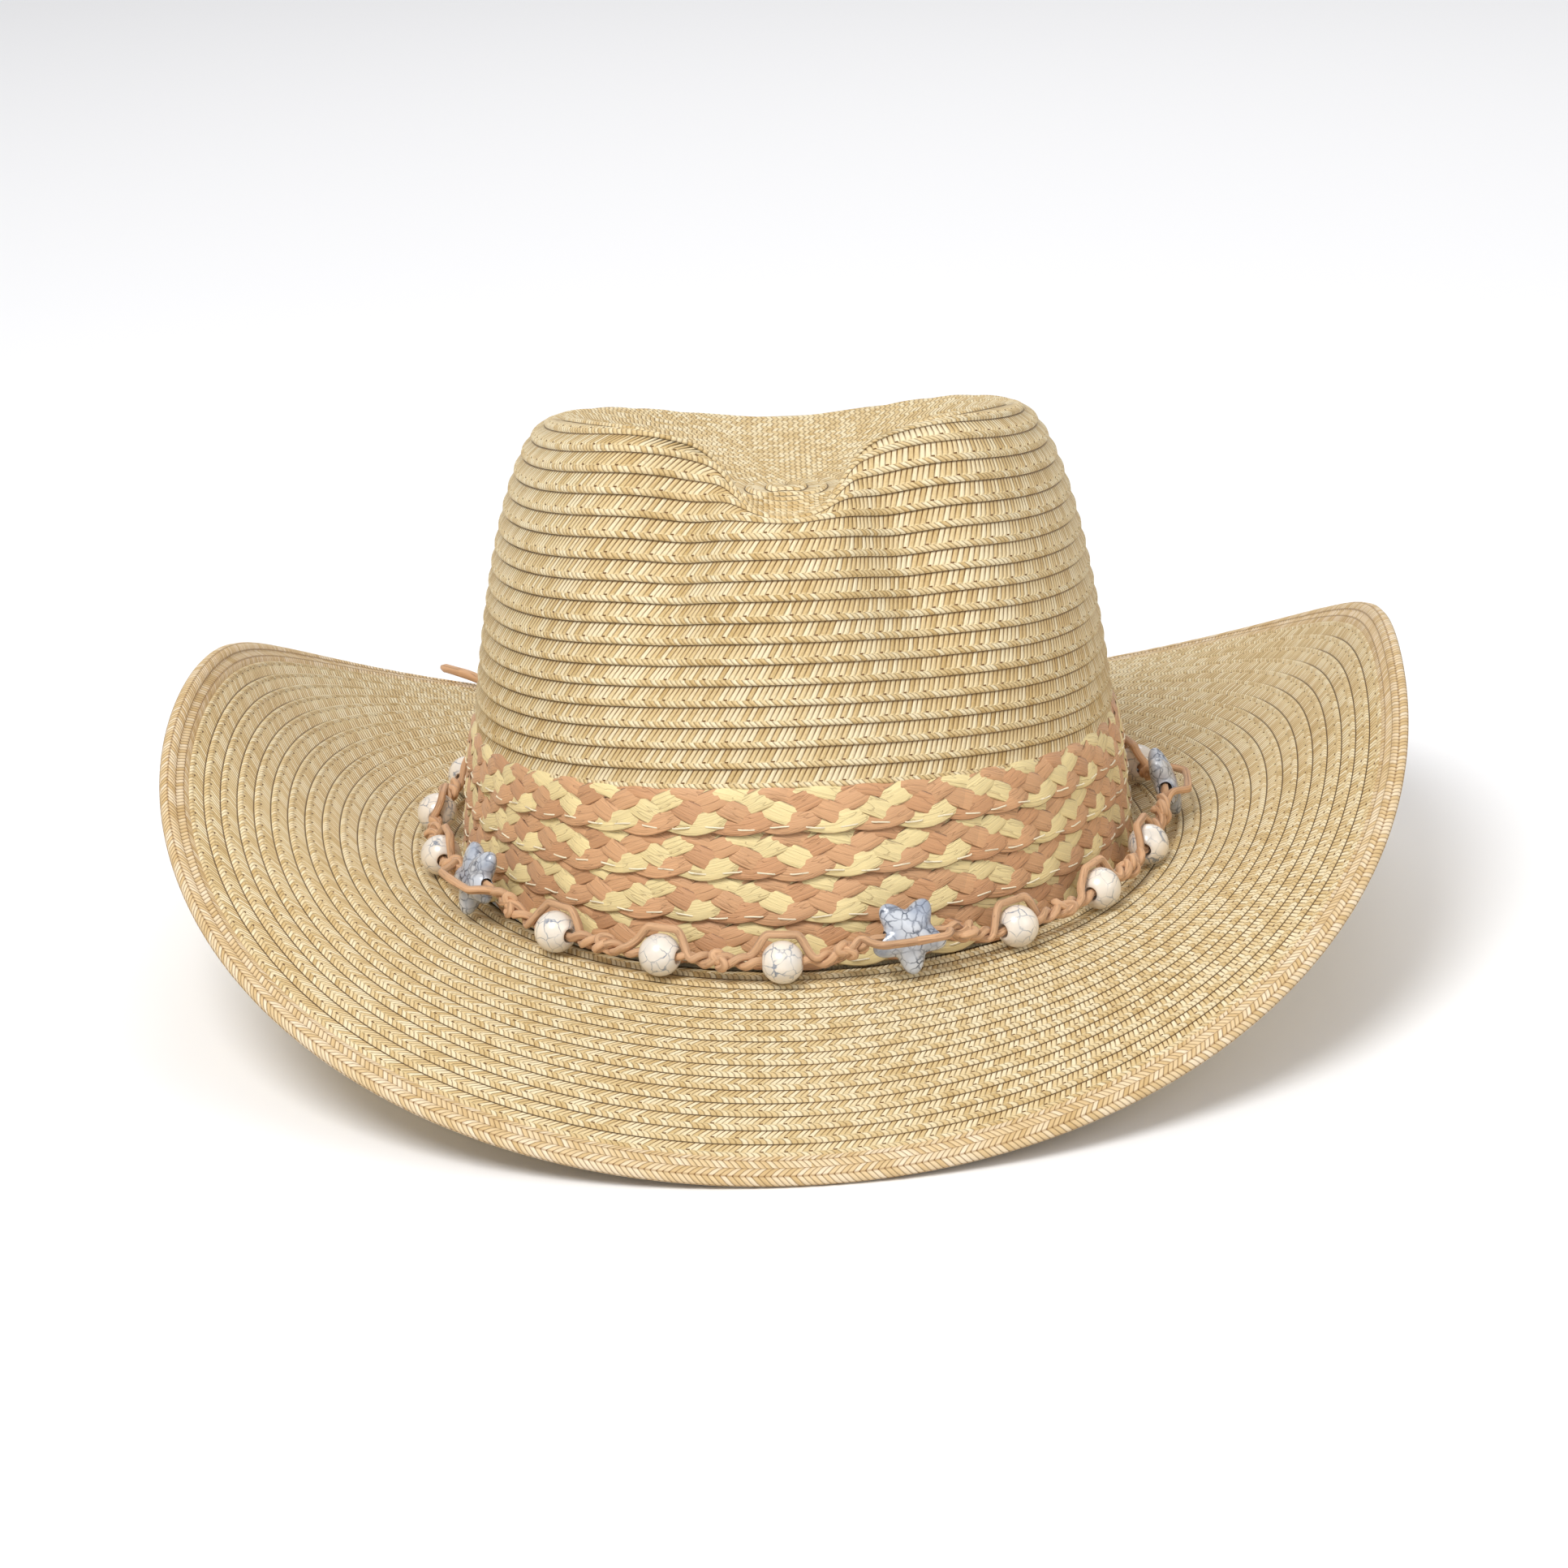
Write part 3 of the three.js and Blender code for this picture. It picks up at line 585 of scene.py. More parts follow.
# %% The flat space of the band: along, up and out, in mm
WRAP_AROUND = 720
WRAP_UP = 64
wrap_phi = np.arange(WRAP_AROUND) * 2 * math.pi / WRAP_AROUND
wrap_lines = crown_lines(wrap_phi)
wrap_face = along_lines(wrap_lines, np.broadcast_to(np.arange(WRAP_UP, dtype=float), (WRAP_AROUND, WRAP_UP)))
wrap_normal = surface_normals(wrap_face)
closed_foot = np.concatenate([wrap_face[:, 6], wrap_face[:1, 6]])
wrap_walked = np.concatenate([[0], np.cumsum(np.linalg.norm(np.diff(closed_foot, axis=0), axis=1))])
BAND_ROUND = float(wrap_walked[-1])
print(f"the band is {BAND_ROUND:.0f} mm round")


def on_band(along, height, out):
    """Wraps flat places onto the crown: along the band from the back, up the wall and out from it."""
    step = np.interp((along + BAND_ROUND / 2) % BAND_ROUND, wrap_walked, np.arange(WRAP_AROUND + 1))
    up = np.clip(height, 0, WRAP_UP - 1.001)
    i, j = np.floor(step).astype(int), np.floor(up).astype(int)
    a, b = (step - i)[..., None], (up - j)[..., None]
    i, k = i % WRAP_AROUND, (i + 1) % WRAP_AROUND
    point, normal = (
        (1 - a) * ((1 - b) * grid[i, j] + b * grid[i, j + 1])
        + a * ((1 - b) * grid[k, j] + b * grid[k, j + 1])
        for grid in (wrap_face, wrap_normal)
    )
    return point + normal * out[..., None] + np.minimum(height, 0)[..., None] * (0, 0, 1)


def band_phi(along):
    """Angle round the hat at a place along the band."""
    step = np.interp((along + BAND_ROUND / 2) % BAND_ROUND, wrap_walked, np.arange(WRAP_AROUND + 1))
    return step * 2 * math.pi / WRAP_AROUND


# %% One strip of a plait
STRANDS = 5
ZIGZAGS = 10
PERIOD = BAND_ROUND / ZIGZAGS
STRIP_W, STRIP_T = 4.9, 0.3
SWING = 4.4
OVER_UNDER = 0.33
SHINGLE_OUT, SHINGLE_LEAN, HIDDEN_LEAN, SHOWN = 1.15, 0.1, 0.75, 9.9
ZIG_ROUNDING = 0.72
STRIP_SECTION = (
    (-0.5, 0.0), (-0.44, 0.55), (-0.2, 0.9), (0.12, 0.75), (0.43, 0.5), (0.5, 0.0), (0.4, -0.5), (-0.4, -0.5),
)
STEPS_PER_ZIGZAG = 26
WOBBLE_STEP, WOBBLE_MM = 9, 0.22  # a strip strays by about this much, every so many steps


def zigzag(along):
    """Centre line of a strip: from -1 to 1 across the plait, with rounded turns."""
    wave = np.cos(2 * math.pi * along / PERIOD)
    return np.arcsin(ZIG_ROUNDING * wave) / math.asin(ZIG_ROUNDING)


def plait_strip(name, row, strand, shift):
    """One ribbon of a plait: row counts up the band, strand is its place among the five."""
    steps = ZIGZAGS * STEPS_PER_ZIGZAG
    along = np.arange(steps) * BAND_ROUND / steps
    own = along + strand * PERIOD / STRANDS
    random = np.random.default_rng(100 * row + strand)
    marks_at = np.arange(0, steps + WOBBLE_STEP, WOBBLE_STEP)
    wobble = np.interp(np.arange(steps), marks_at, random.normal(0, WOBBLE_MM, len(marks_at)))
    wobble[-WOBBLE_STEP:] *= np.linspace(1, 0, WOBBLE_STEP)
    wobble[:WOBBLE_STEP] *= np.linspace(0, 1, WOBBLE_STEP)
    height = SWING * zigzag(own) + wobble
    lift = OVER_UNDER * np.sin(8 * math.pi * own / PERIOD)
    slope = np.gradient(height, along)
    across = unit(np.stack([-slope, np.ones_like(slope)], axis=-1))
    section = np.array(STRIP_SECTION + STRIP_SECTION[:1])
    width = STRIP_W * (1 + 0.06 * np.sin(own * 0.37 + 2.1 * strand))
    flat_along = along[:, None] + across[:, :1] * section[:, 0] * width[:, None]
    flat_height = height[:, None] + across[:, 1:] * section[:, 0] * width[:, None]
    middle = SWING + STRIP_W / 2 - 0.4
    flat_height = flat_height + middle
    lean = SHINGLE_OUT - SHINGLE_LEAN * flat_height - HIDDEN_LEAN * np.maximum(0, flat_height - SHOWN)
    flat_out = lean + lift[:, None] + section[:, 1] * STRIP_T
    band = band_height(band_phi(flat_along))
    base = band * row / PLAITS
    points = on_band(flat_along + shift, base + flat_height + GAP, flat_out + 0.25)
    count = len(section) - 1
    share = section[:, 0] + 0.5

    def place(i, j):
        pattern = np.stack([i * BAND_ROUND / steps, strand + 0.02 + 0.96 * share[j]], axis=-1)
        return points[i % steps, j], pattern

    return lay_grid(name, steps, count, place)


# %% [markdown]
# The plaits are sewn on with a pale cotton thread. It shows as short wavy floats just above each plait's
# lower edge, and dips out of sight between them. It is modelled as one closed thread for each plait.

# %% The sewing thread of a plait
PLAITS = 4
THREAD_R = 0.22
THREAD_UP, THREAD_WAVE = 1.5, 0.35
THREAD_OUT, THREAD_DIP = 1.25, 0.5
FLOAT_MM = 8.0
THREAD_STEPS = 1400


def sewing_thread(name, row, shift):
    """The thread of a plait. Its UV follows on after the strips, so that it takes the next dye."""
    along = np.arange(THREAD_STEPS) * BAND_ROUND / THREAD_STEPS
    turn_of = 2 * math.pi * along / BAND_ROUND
    floats = int(round(BAND_ROUND / FLOAT_MM))
    out = THREAD_OUT + THREAD_DIP * np.clip(2.5 * np.sin(floats * turn_of + row) + 0.6, -1, 1)
    up = THREAD_UP + THREAD_WAVE * np.sin(29 * turn_of + 2 * row) + GAP
    path = on_band(along + shift, band_height(band_phi(along + shift)) * row / PLAITS + up, out)
    made = tube(name, path, THREAD_R, sides=6, closed=True, seed=40 + row, ridges=0.05)
    pattern = np.empty(len(made.data.loops) * 2)
    made.data.uv_layers[0].data.foreach_get("uv", pattern)
    pattern[1::2] = STRANDS + 0.3 + 0.4 * pattern[1::2]
    made.data.uv_layers[0].data.foreach_set("uv", pattern)
    return made


# %% The four plaits
ROW_SHIFTS = (7.0, 0.0, 4.5, 1.5)
plaits = []
for row in range(PLAITS):
    strips = [plait_strip(f"plait_{row + 1}_strip_{s + 1}", row, s, ROW_SHIFTS[row]) for s in range(STRANDS)]
    thread = sewing_thread(f"plait_{row + 1}_thread", row, ROW_SHIFTS[row])
    plait = close_up(strips[0], [*strips[1:], thread])
    plait.name = f"plait_{row + 1}"
    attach(plait, "hat")
    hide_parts(f"raffia_plait_{row + 1}")
    plaits.append(plait)

# %% [markdown]
# ## Tie tails
# The string is tied behind the crown, and its two ends lie on the brim. The left one reaches the brim's
# edge. They are limp, so they lie on the straw all the way, and they are simply cut off.

# %% The two tails
LEFT_TAIL = (
    (-11.3, 108.1, 21.9), (-14, 109.9, 20.4), (-17.5, 111.2, 19.2), (-22, 112, 18.5), (-27.5, 114, 18.4),
    (-33.5, 115, 18.3), (-39.5, 115, 18.4), (-45.5, 116, 18.6), (-51, 118.5, 18.6), (-55.5, 122, 18.5),
    (-60, 126, 18.5), (-65, 129, 18.7), (-70.5, 130.5, 19.5), (-76.5, 131, 20.6), (-82.5, 132, 22.2),
    (-88, 134, 24.4), (-93, 136.5, 25.4), (-97, 138.7, 26),
)
RIGHT_TAIL = (
    (-6.9, 108.5, 22), (-4.6, 110.6, 20.4), (-1.5, 113.5, 18.9), (2, 118, 17.7), (4, 123.5, 16.8),
    (6, 129, 16), (10, 133.5, 15.1), (15.5, 136, 14.7), (21.5, 137, 14.5), (27.5, 138.5, 14.4),
    (32.5, 142, 13.9), (36.5, 146.5, 13.3), (41, 150, 12.7), (46.5, 152, 12.6),
)
TAIL_DIAMETER = 2.8
tails = []
for seed, (side_name, route) in enumerate((("left", LEFT_TAIL), ("right", RIGHT_TAIL))):
    path = smooth_path(route)
    tail = close_up(tube(f"cord_tail_{side_name}", path, TAIL_DIAMETER / 2, seed=40 + seed, ridges=0.08))
    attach(tail, "bead_string")
    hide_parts(f"tie_tail_{side_name}")
    tails.append(tail)

# %% [markdown]
# ## Bead string
# Two raffia strands are twisted together. At a round bead one strand goes through the bore and the other
# passes over the bead, next to the band. At a star the second strand lies across the star's face. An
# overhand knot between every two beads keeps them apart.

# %% The line that the cord follows
BEADS, FIRST_BEAD, STAR_EVERY, STAR_LEVEL = 20, 15.0, 4, 4.6
BEAD_OUT, BEAD_UP, STAR_OUT, STAR_UP = 8.3, 5.8, 9.4, 10.6
BEAD_R = 5.0
BORE_R = 1.7
STRAND_R = 1.2


def brim_height(phi, out):
    """Height of the brim's top face at a distance outside the foot."""
    lines = brim_lines(phi)
    reach = np.linalg.norm((lines - foot(phi)[:, None]) * (1, 1, 0), axis=2)
    return np.array([np.interp(o, r, z) for o, r, z in zip(out, reach, lines[..., 2])])


def cord_line(phi):
    step = 360 / BEADS * STAR_EVERY
    turned = np.degrees(phi) - FIRST_BEAD + step / 2
    from_star = np.abs(turned % step - step / 2)
    near = 1 - smooth((from_star - STAR_LEVEL) / (2 * STAR_LEVEL))
    out = BEAD_OUT + (STAR_OUT - BEAD_OUT) * near
    point = foot(phi) + out[:, None] * foot_normal(phi)
    point[:, 2] = brim_height(phi, out) + BEAD_UP + (STAR_UP - BEAD_UP) * near
    return point


# %% Two twisted strands
CORD_STEPS = 1200
TWISTS = 68
PAST_ROUND = (-1.9, 5.95)  # how the second strand passes a round bead: outwards, up
PAST_STAR = (5.8, 0.4)
CLEAR_ROUND, CLEAR_STAR, EASE = 3.2, 6.5, 5.5  # mm along the cord on each side of a bead's centre

phi = np.radians(FIRST_BEAD) + np.arange(CORD_STEPS) * 2 * math.pi / CORD_STEPS
line = cord_line(phi)
closed_line = np.concatenate([line, line[:1]])
walked = np.concatenate([[0], np.cumsum(np.linalg.norm(np.diff(closed_line, axis=0), axis=1))])
cord_round = walked[-1]
walked = walked[:-1]
bead_at = np.array([k * CORD_STEPS // BEADS for k in range(BEADS)])
outwards = foot_normal(phi)
twist = 2 * math.pi * TWISTS * walked / cord_round
near_bead = np.zeros(CORD_STEPS)
past = np.zeros((CORD_STEPS, 2))
for k, centre in enumerate(bead_at):
    apart = np.abs(walked - walked[centre])
    apart = np.minimum(apart, cord_round - apart)
    clear, offset = (CLEAR_STAR, PAST_STAR) if k % STAR_EVERY == 0 else (CLEAR_ROUND, PAST_ROUND)
    weight = 1 - smooth((apart - clear) / EASE)
    near_bead = near_bead + weight
    past = past + weight[:, None] * offset
spin = STRAND_R * 0.85 * (1 - near_bead)
through = line + outwards * (spin * np.cos(twist))[:, None]
through[:, 2] += spin * np.sin(twist)
over = line + outwards * (past[:, 0] - spin * np.cos(twist))[:, None]
over[:, 2] += past[:, 1] - spin * np.sin(twist)
strands = [
    tube("cord_strand_through", through, STRAND_R, sides=8, closed=True, seed=3, ridges=0.14),
    tube("cord_strand_over", over, STRAND_R * 0.95, sides=8, closed=True, seed=4, ridges=0.16),
]

# %% Overhand knots
KNOT_TUBE = 1.15
KNOT_SIZE = 0.78
KNOT_STRETCH = 1.05
KNOT_STEPS = 42
TIE_KNOT, TIE_KNOT_SCALE = 9, 1.25


def knot(name, k):
    """A trefoil round the cord, half way between bead k and the next."""
    middle = (bead_at[k] + CORD_STEPS // BEADS // 2) % CORD_STEPS
    ahead = unit(line[(middle + 2) % CORD_STEPS] - line[middle - 2])
    out = outwards[middle]
    rise = np.cross(ahead, out)
    rise = rise if rise[2] > 0 else -rise
    random = np.random.default_rng(700 + k)
    roll, tilt = random.uniform(0, 2 * math.pi), random.uniform(0.35, 0.75)
    size = KNOT_SIZE * (TIE_KNOT_SCALE if k == TIE_KNOT else 1.0) * random.uniform(0.92, 1.08)
    t = np.arange(KNOT_STEPS) * 2 * math.pi / KNOT_STEPS
    x = np.sin(t) + 2 * np.sin(2 * t)
    y = np.cos(t) - 2 * np.cos(2 * t)
    z = -1.25 * np.sin(3 * t) * KNOT_STRETCH + tilt * x
    a = x * math.cos(roll) - y * math.sin(roll)
    b = x * math.sin(roll) + y * math.cos(roll)
    path = line[middle] + size * (a[:, None] * out * 0.85 + b[:, None] * rise * 0.85 + z[:, None] * ahead)
    return tube(name, path, KNOT_TUBE, sides=8, closed=True, seed=60 + k, ridges=0.14)


knots = [knot(f"cord_knot_{k + 1}", k) for k in range(BEADS)]
cord_string = close_up(strands[0], [strands[1], *knots])
cord_string.name = "cord_string"
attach(cord_string, "bead_string")
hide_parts("cord_loop")

# %% [markdown]
# ## Beads
# The beads are tumbled stone: balls and puffy five-pointed stars, each drilled through. A ball is a
# sphere primitive whose two caps are taken off and joined by the bore. A star starts as a sphere too. Its
# points are drawn out into five fat arms by a formula, one arm down, and it is drilled by a boolean.

# %% Helpers for modelling by hand
def only(piece):
    bpy.ops.object.select_all(action="DESELECT")
    piece.select_set(True)
    bpy.context.view_layer.objects.active = piece


def apply_modifier(piece, kind, **settings):
    only(piece)
    added = piece.modifiers.new(kind.title(), kind)
    for name, value in settings.items():
        setattr(added, name, value)
    bpy.ops.object.modifier_apply(modifier=added.name)


# %% Round bead blank, its bore along X
bpy.ops.object.select_all(action="DESELECT")
bpy.ops.mesh.primitive_uv_sphere_add(segments=36, ring_count=24, radius=BEAD_R * MM)
round_blank = bpy.context.object
bpy.ops.object.mode_set(mode="EDIT")
bpy.ops.mesh.select_mode(type="FACE")
bpy.ops.mesh.select_all(action="DESELECT")
bpy.ops.object.mode_set(mode="OBJECT")
for face_of in round_blank.data.polygons:
    face_of.select = math.hypot(*face_of.center[:2]) < BORE_R * MM
bpy.ops.object.mode_set(mode="EDIT")
bpy.ops.mesh.delete(type="FACE")
bpy.ops.mesh.select_mode(type="EDGE")
bpy.ops.mesh.select_all(action="SELECT")
bpy.ops.mesh.region_to_loop()
bpy.ops.mesh.extrude_edges_move(TRANSFORM_OT_translate={"value": (0, 0, 0)})
bpy.ops.transform.resize(value=(0.86, 0.86, 0.97), center_override=(0, 0, 0))
bpy.ops.mesh.bridge_edge_loops()
bpy.ops.mesh.select_all(action="SELECT")
bpy.ops.transform.rotate(value=math.pi / 2, orient_axis="Y", center_override=(0, 0, 0))
bpy.ops.object.mode_set(mode="OBJECT")
bpy.ops.object.shade_smooth()
print("round bead:", len(round_blank.data.polygons), "faces, volume", volume(round_blank.data) * 1e9)

# %% Star blank, its face towards -Y and its bore along X
STAR_R, STAR_VALLEY_R, STAR_T, STAR_TILT = 9.2, 5.9, 6.0, 20.0
ARM_SHARPNESS, PUFF, ARM_THINNING = 0.95, 2.4, 0.2
bpy.ops.object.select_all(action="DESELECT")
bpy.ops.mesh.primitive_uv_sphere_add(segments=100, ring_count=36, radius=1)
star_blank = bpy.context.object
mesh = star_blank.data
for corner in mesh.vertices:
    x, y, z = corner.co
    level = min(1.0, math.hypot(x, y))
    from_arm = math.atan2(x, -y)  # the first arm points down
    arm = ((1 + math.cos(5 * from_arm)) / 2) ** ARM_SHARPNESS
    reach_of = STAR_VALLEY_R + (STAR_R - STAR_VALLEY_R) * arm
    wide = level ** (2 / PUFF)
    thick = math.copysign(abs(z) ** (2 / PUFF), z) * (1 - ARM_THINNING * (wide * reach_of / STAR_R) ** 2)
    flat = Vector((math.sin(from_arm), -math.cos(from_arm), 0)) * wide * reach_of
    corner.co = (flat + Vector((0, 0, thick * STAR_T / 2))) * MM
only(star_blank)
bpy.ops.mesh.primitive_cylinder_add(
    vertices=24, radius=BORE_R * MM, depth=4 * STAR_R * MM, rotation=(0, math.pi / 2, 0)
)
drill = bpy.context.object
apply_modifier(star_blank, "BOOLEAN", operation="DIFFERENCE", object=drill, solver="EXACT")
bpy.data.objects.remove(drill)
only(star_blank)
bpy.ops.object.mode_set(mode="EDIT")
bpy.ops.mesh.select_all(action="SELECT")
bpy.ops.transform.rotate(value=math.radians(STAR_TILT - 90), orient_axis="X", center_override=(0, 0, 0))
bpy.ops.object.mode_set(mode="OBJECT")
bpy.ops.object.shade_smooth()
bpy.ops.object.shade_smooth_by_angle(angle=math.radians(50))
low = np.array([v.co for v in mesh.vertices]).min(0) * 1000
high = np.array([v.co for v in mesh.vertices]).max(0) * 1000
print("star bead from", low.round(2), "to", high.round(2), "faces", len(mesh.polygons))

# %% The twenty beads on their own joints
joint_of = {joint["child"]: joint for joint in frame["joints"]}
bead_pieces = {"round": [], "star": []}
for body, joint in joint_of.items():
    if "bead_" not in body or body == "bead_string":
        continue
    shape = "star" if body.startswith("star") else "round"
    blank = star_blank if shape == "star" else round_blank
    bead = bpy.data.objects.new(f"{body}_stone", blank.data.copy())
    bpy.context.scene.collection.objects.link(bead)
    along = Vector(joint["axis"]).normalized()
    inward = Vector((0, 0, 1)).cross(along).normalized()
    basis = Matrix((along, inward, along.cross(inward))).transposed().to_4x4()
    bead.data.transform(Matrix.Translation(Vector(joint["pos_m"])) @ basis)
    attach(bead, body)
    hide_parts(body)
    bead_pieces[shape].append(bead)
bpy.data.objects.remove(round_blank)
bpy.data.objects.remove(star_blank)
print({shape: len(found) for shape, found in bead_pieces.items()})

# %% [markdown]
# ## Materials
# A material starts from what the real one is. Each pattern is drawn from the piece's own UV map, in mm
# along the strip and in rows across it, so that straws and fibres follow the surface. Every size below
# is the real one in mm.

# %% Colours and nodes
def linear(code, alpha=1.0):
    """An sRGB hex colour as the linear values that shaders use."""
    parts = [int(code[k:k + 2], 16) / 255 for k in (1, 3, 5)]
    return tuple(c / 12.92 if c <= 0.04045 else ((c + 0.055) / 1.055) ** 2.4 for c in parts) + (alpha,)


def node(tree, kind, sockets=(), ramp=(), **settings):
    """Adds a node, sets or links its inputs in order or by name, and returns its first output."""
    made = tree.nodes.new(kind)
    for name, value in settings.items():
        setattr(made, name, value)
    for key, value in sockets.items() if isinstance(sockets, dict) else enumerate(sockets):
        if isinstance(value, bpy.types.NodeSocket):
            tree.links.new(value, made.inputs[key])
        elif value is not None:
            made.inputs[key].default_value = value
    if ramp:
        stops = made.color_ramp.elements
        while len(stops) < len(ramp):
            stops.new(1.0)
        for stop, (place, colour) in zip(stops, ramp):
            stop.position = place
            stop.color = linear(colour)
    return made.outputs[0]


def new_material(name, roughness, ior=1.5):
    made = bpy.data.materials.new(name)
    made.use_nodes = True
    shader = made.node_tree.nodes["Principled BSDF"]
    shader.inputs["Roughness"].default_value = roughness
    shader.inputs["IOR"].default_value = ior
    return made, made.node_tree, shader


def strip_pattern(tree):
    """The piece's own UV: mm along the strip, and rows or strips across it."""
    uv = node(tree, "ShaderNodeUVMap", uv_map="UVMap")
    return (node(tree, "ShaderNodeSeparateXYZ", (uv,)).node.outputs[k] for k in (0, 1))


def dress(pieces, made):
    for piece in pieces:
        piece.data.materials.clear()
        piece.data.materials.append(made)


# %% [markdown]
# ### Paper straw braid
# Paper is twisted into a stiff yarn and plaited flat. Its lower lip shows the yarns leaning one way, and
# the body of the row shows them leaning the other way, with a line of pale machine stitches between. The
# gaps between yarns get painted shade, deepest where a row dips under the next, the stitch holes get
# painted shade too, and a band of painted shadow lies under the lip of the row above. It is matt, with
# only a faint gleam on the tops of the yarns.

# %% Straw braid material
YARN_MM = 1.35  # four yarns to one stitch
LIP, STITCH_AT, STITCH_HALF = 0.30, 0.335, 0.035


def straw_braid(name, lip_lean, body_lean):
    made, tree, shader = new_material(name, roughness=0.62, ior=1.45)
    u, v = strip_pattern(tree)
    t = node(tree, "ShaderNodeMath", (v,), operation="FRACT")
    row = node(tree, "ShaderNodeMath", (v,), operation="FLOOR")
    yarn = node(tree, "ShaderNodeMath", (u, 1 / YARN_MM), operation="MULTIPLY")
    lip_phase = node(tree, "ShaderNodeMath", (t, lip_lean, yarn), operation="MULTIPLY_ADD")
    body_phase = node(tree, "ShaderNodeMath", (t, body_lean, yarn), operation="MULTIPLY_ADD")
    in_body = node(tree, "ShaderNodeMath", (t, LIP), operation="GREATER_THAN")
    phase = node(tree, "ShaderNodeMix", {0: in_body, 2: lip_phase, 3: body_phase}, data_type="FLOAT")
    fold = node(tree, "ShaderNodeMath", (phase, 0.5), operation="PINGPONG")
    gap = node(tree, "ShaderNodeMapRange", (fold, 0.04, 0.22, 1.0, 0.0), interpolation_type="SMOOTHSTEP")
    which = node(tree, "ShaderNodeMath", (phase,), operation="FLOOR")
    strand = node(tree, "ShaderNodeCombineXYZ", (which, row, in_body))
    luck = node(tree, "ShaderNodeTexWhiteNoise", {"Vector": strand}, noise_dimensions="3D")

    place = node(tree, "ShaderNodeTexCoord").node.outputs["Object"]
    patch = node(tree, "ShaderNodeTexNoise", {"Vector": place, "Scale": 22.0, "Detail": 3.0})
    grain = node(tree, "ShaderNodeTexNoise", {"Vector": place, "Scale": 1500.0, "Detail": 2.0})
    patch = node(tree, "ShaderNodeMath", (patch, 0.35, 0.325), operation="MULTIPLY_ADD")
    tone = node(tree, "ShaderNodeMath", (luck, 0.45, patch), operation="MULTIPLY_ADD")
    tone = node(tree, "ShaderNodeMath", (grain, 0.25, tone), operation="MULTIPLY_ADD")
    straw = node(tree, "ShaderNodeValToRGB", (tone,), ramp=(
        (0.55, "#C4A56C"), (0.75, "#D9BF8C"), (0.9, "#E2CDA0"), (1.0, "#EADAB4"),
    ))

    # Painted shade: the gaps between yarns are mixed towards brown, and more strongly towards the covered top
    # of each row.
    painted_shade_toward_top = node(tree, "ShaderNodeMapRange", (t, 0.4, 0.85, 0.5, 1.0), interpolation_type="SMOOTHSTEP")
    painted_gap_shade = node(tree, "ShaderNodeMath", (gap, painted_shade_toward_top), operation="MULTIPLY")
    gapped = node(tree, "ShaderNodeMix", {0: painted_gap_shade, 6: straw, 7: linear("#7D5726")}, data_type="RGBA")
    gapped = gapped.node.outputs[2]
    groove = node(tree, "ShaderNodeMath", (t, STITCH_AT, STITCH_HALF), operation="COMPARE")
    from_hole = node(tree, "ShaderNodeMath", (u, STITCH_MM / 2), operation="PINGPONG")
    hole = node(tree, "ShaderNodeMath", (from_hole, 0.42), operation="LESS_THAN")
    hole = node(tree, "ShaderNodeMath", (hole, groove), operation="MULTIPLY")
    thread = node(tree, "ShaderNodeMath", (groove, 0.4), operation="MULTIPLY")
    sewn = node(tree, "ShaderNodeMix", {0: thread, 6: gapped, 7: linear("#E8D2A0")}, data_type="RGBA")
    sewn = sewn.node.outputs[2]
    # Painted shade: each stitch hole is coloured dark brown, besides being dented by the bump below.
    sewn = node(tree, "ShaderNodeMix", {0: hole, 6: sewn, 7: linear("#6E4A20")}, data_type="RGBA")
    colour = sewn.node.outputs[2]
    # Painted shadow: a dark brown band at the covered top of each row, where the lip of the row above throws
    # its shadow.
    painted_lip_shadow = node(tree, "ShaderNodeMapRange", (t, 0.87, 0.97, 0.0, 0.72), interpolation_type="SMOOTHSTEP")
    colour = node(tree, "ShaderNodeMix", {0: painted_lip_shadow, 6: colour, 7: linear("#5A3B18")}, data_type="RGBA")
    colour = colour.node.outputs[2]
    tree.links.new(colour, shader.inputs["Base Color"])

    ridge = node(tree, "ShaderNodeMath", (fold, 0.5), operation="POWER")
    height = node(tree, "ShaderNodeMath", (grain, 0.2, ridge), operation="MULTIPLY_ADD")
    height = node(tree, "ShaderNodeMath", (hole, -0.8, height), operation="MULTIPLY_ADD")
    bump = node(tree, "ShaderNodeBump", {"Strength": 0.9, "Distance": 0.0005, "Height": height})
    tree.links.new(bump, shader.inputs["Normal"])
    rough = node(tree, "ShaderNodeMapRange", (luck, 0.0, 1.0, 0.52, 0.74))
    tree.links.new(rough, shader.inputs["Roughness"])
    return made


dress([crown, brim], straw_braid("paper straw braid", lip_lean=3.3, body_lean=-1.9))

# %% Herringbone of the folded edge row
herringbone, tree, shader = new_material("folded paper straw braid", roughness=0.6, ior=1.45)
u, v = strip_pattern(tree)
lean = node(tree, "ShaderNodeMath", (v, 1.0), operation="PINGPONG")
yarn = node(tree, "ShaderNodeMath", (u, 1 / YARN_MM), operation="MULTIPLY")
phase = node(tree, "ShaderNodeMath", (lean, 1.5, yarn), operation="MULTIPLY_ADD")
fold = node(tree, "ShaderNodeMath", (phase, 0.5), operation="PINGPONG")
gap = node(tree, "ShaderNodeMapRange", (fold, 0.03, 0.2, 1.0, 0.0), interpolation_type="SMOOTHSTEP")
lane = node(tree, "ShaderNodeMath", (v, 0.5), operation="PINGPONG")
lane = node(tree, "ShaderNodeMapRange", (lane, 0.02, 0.16, 1.0, 0.0), interpolation_type="SMOOTHSTEP")
which = node(tree, "ShaderNodeMath", (phase,), operation="FLOOR")
row = node(tree, "ShaderNodeMath", (v,), operation="FLOOR")
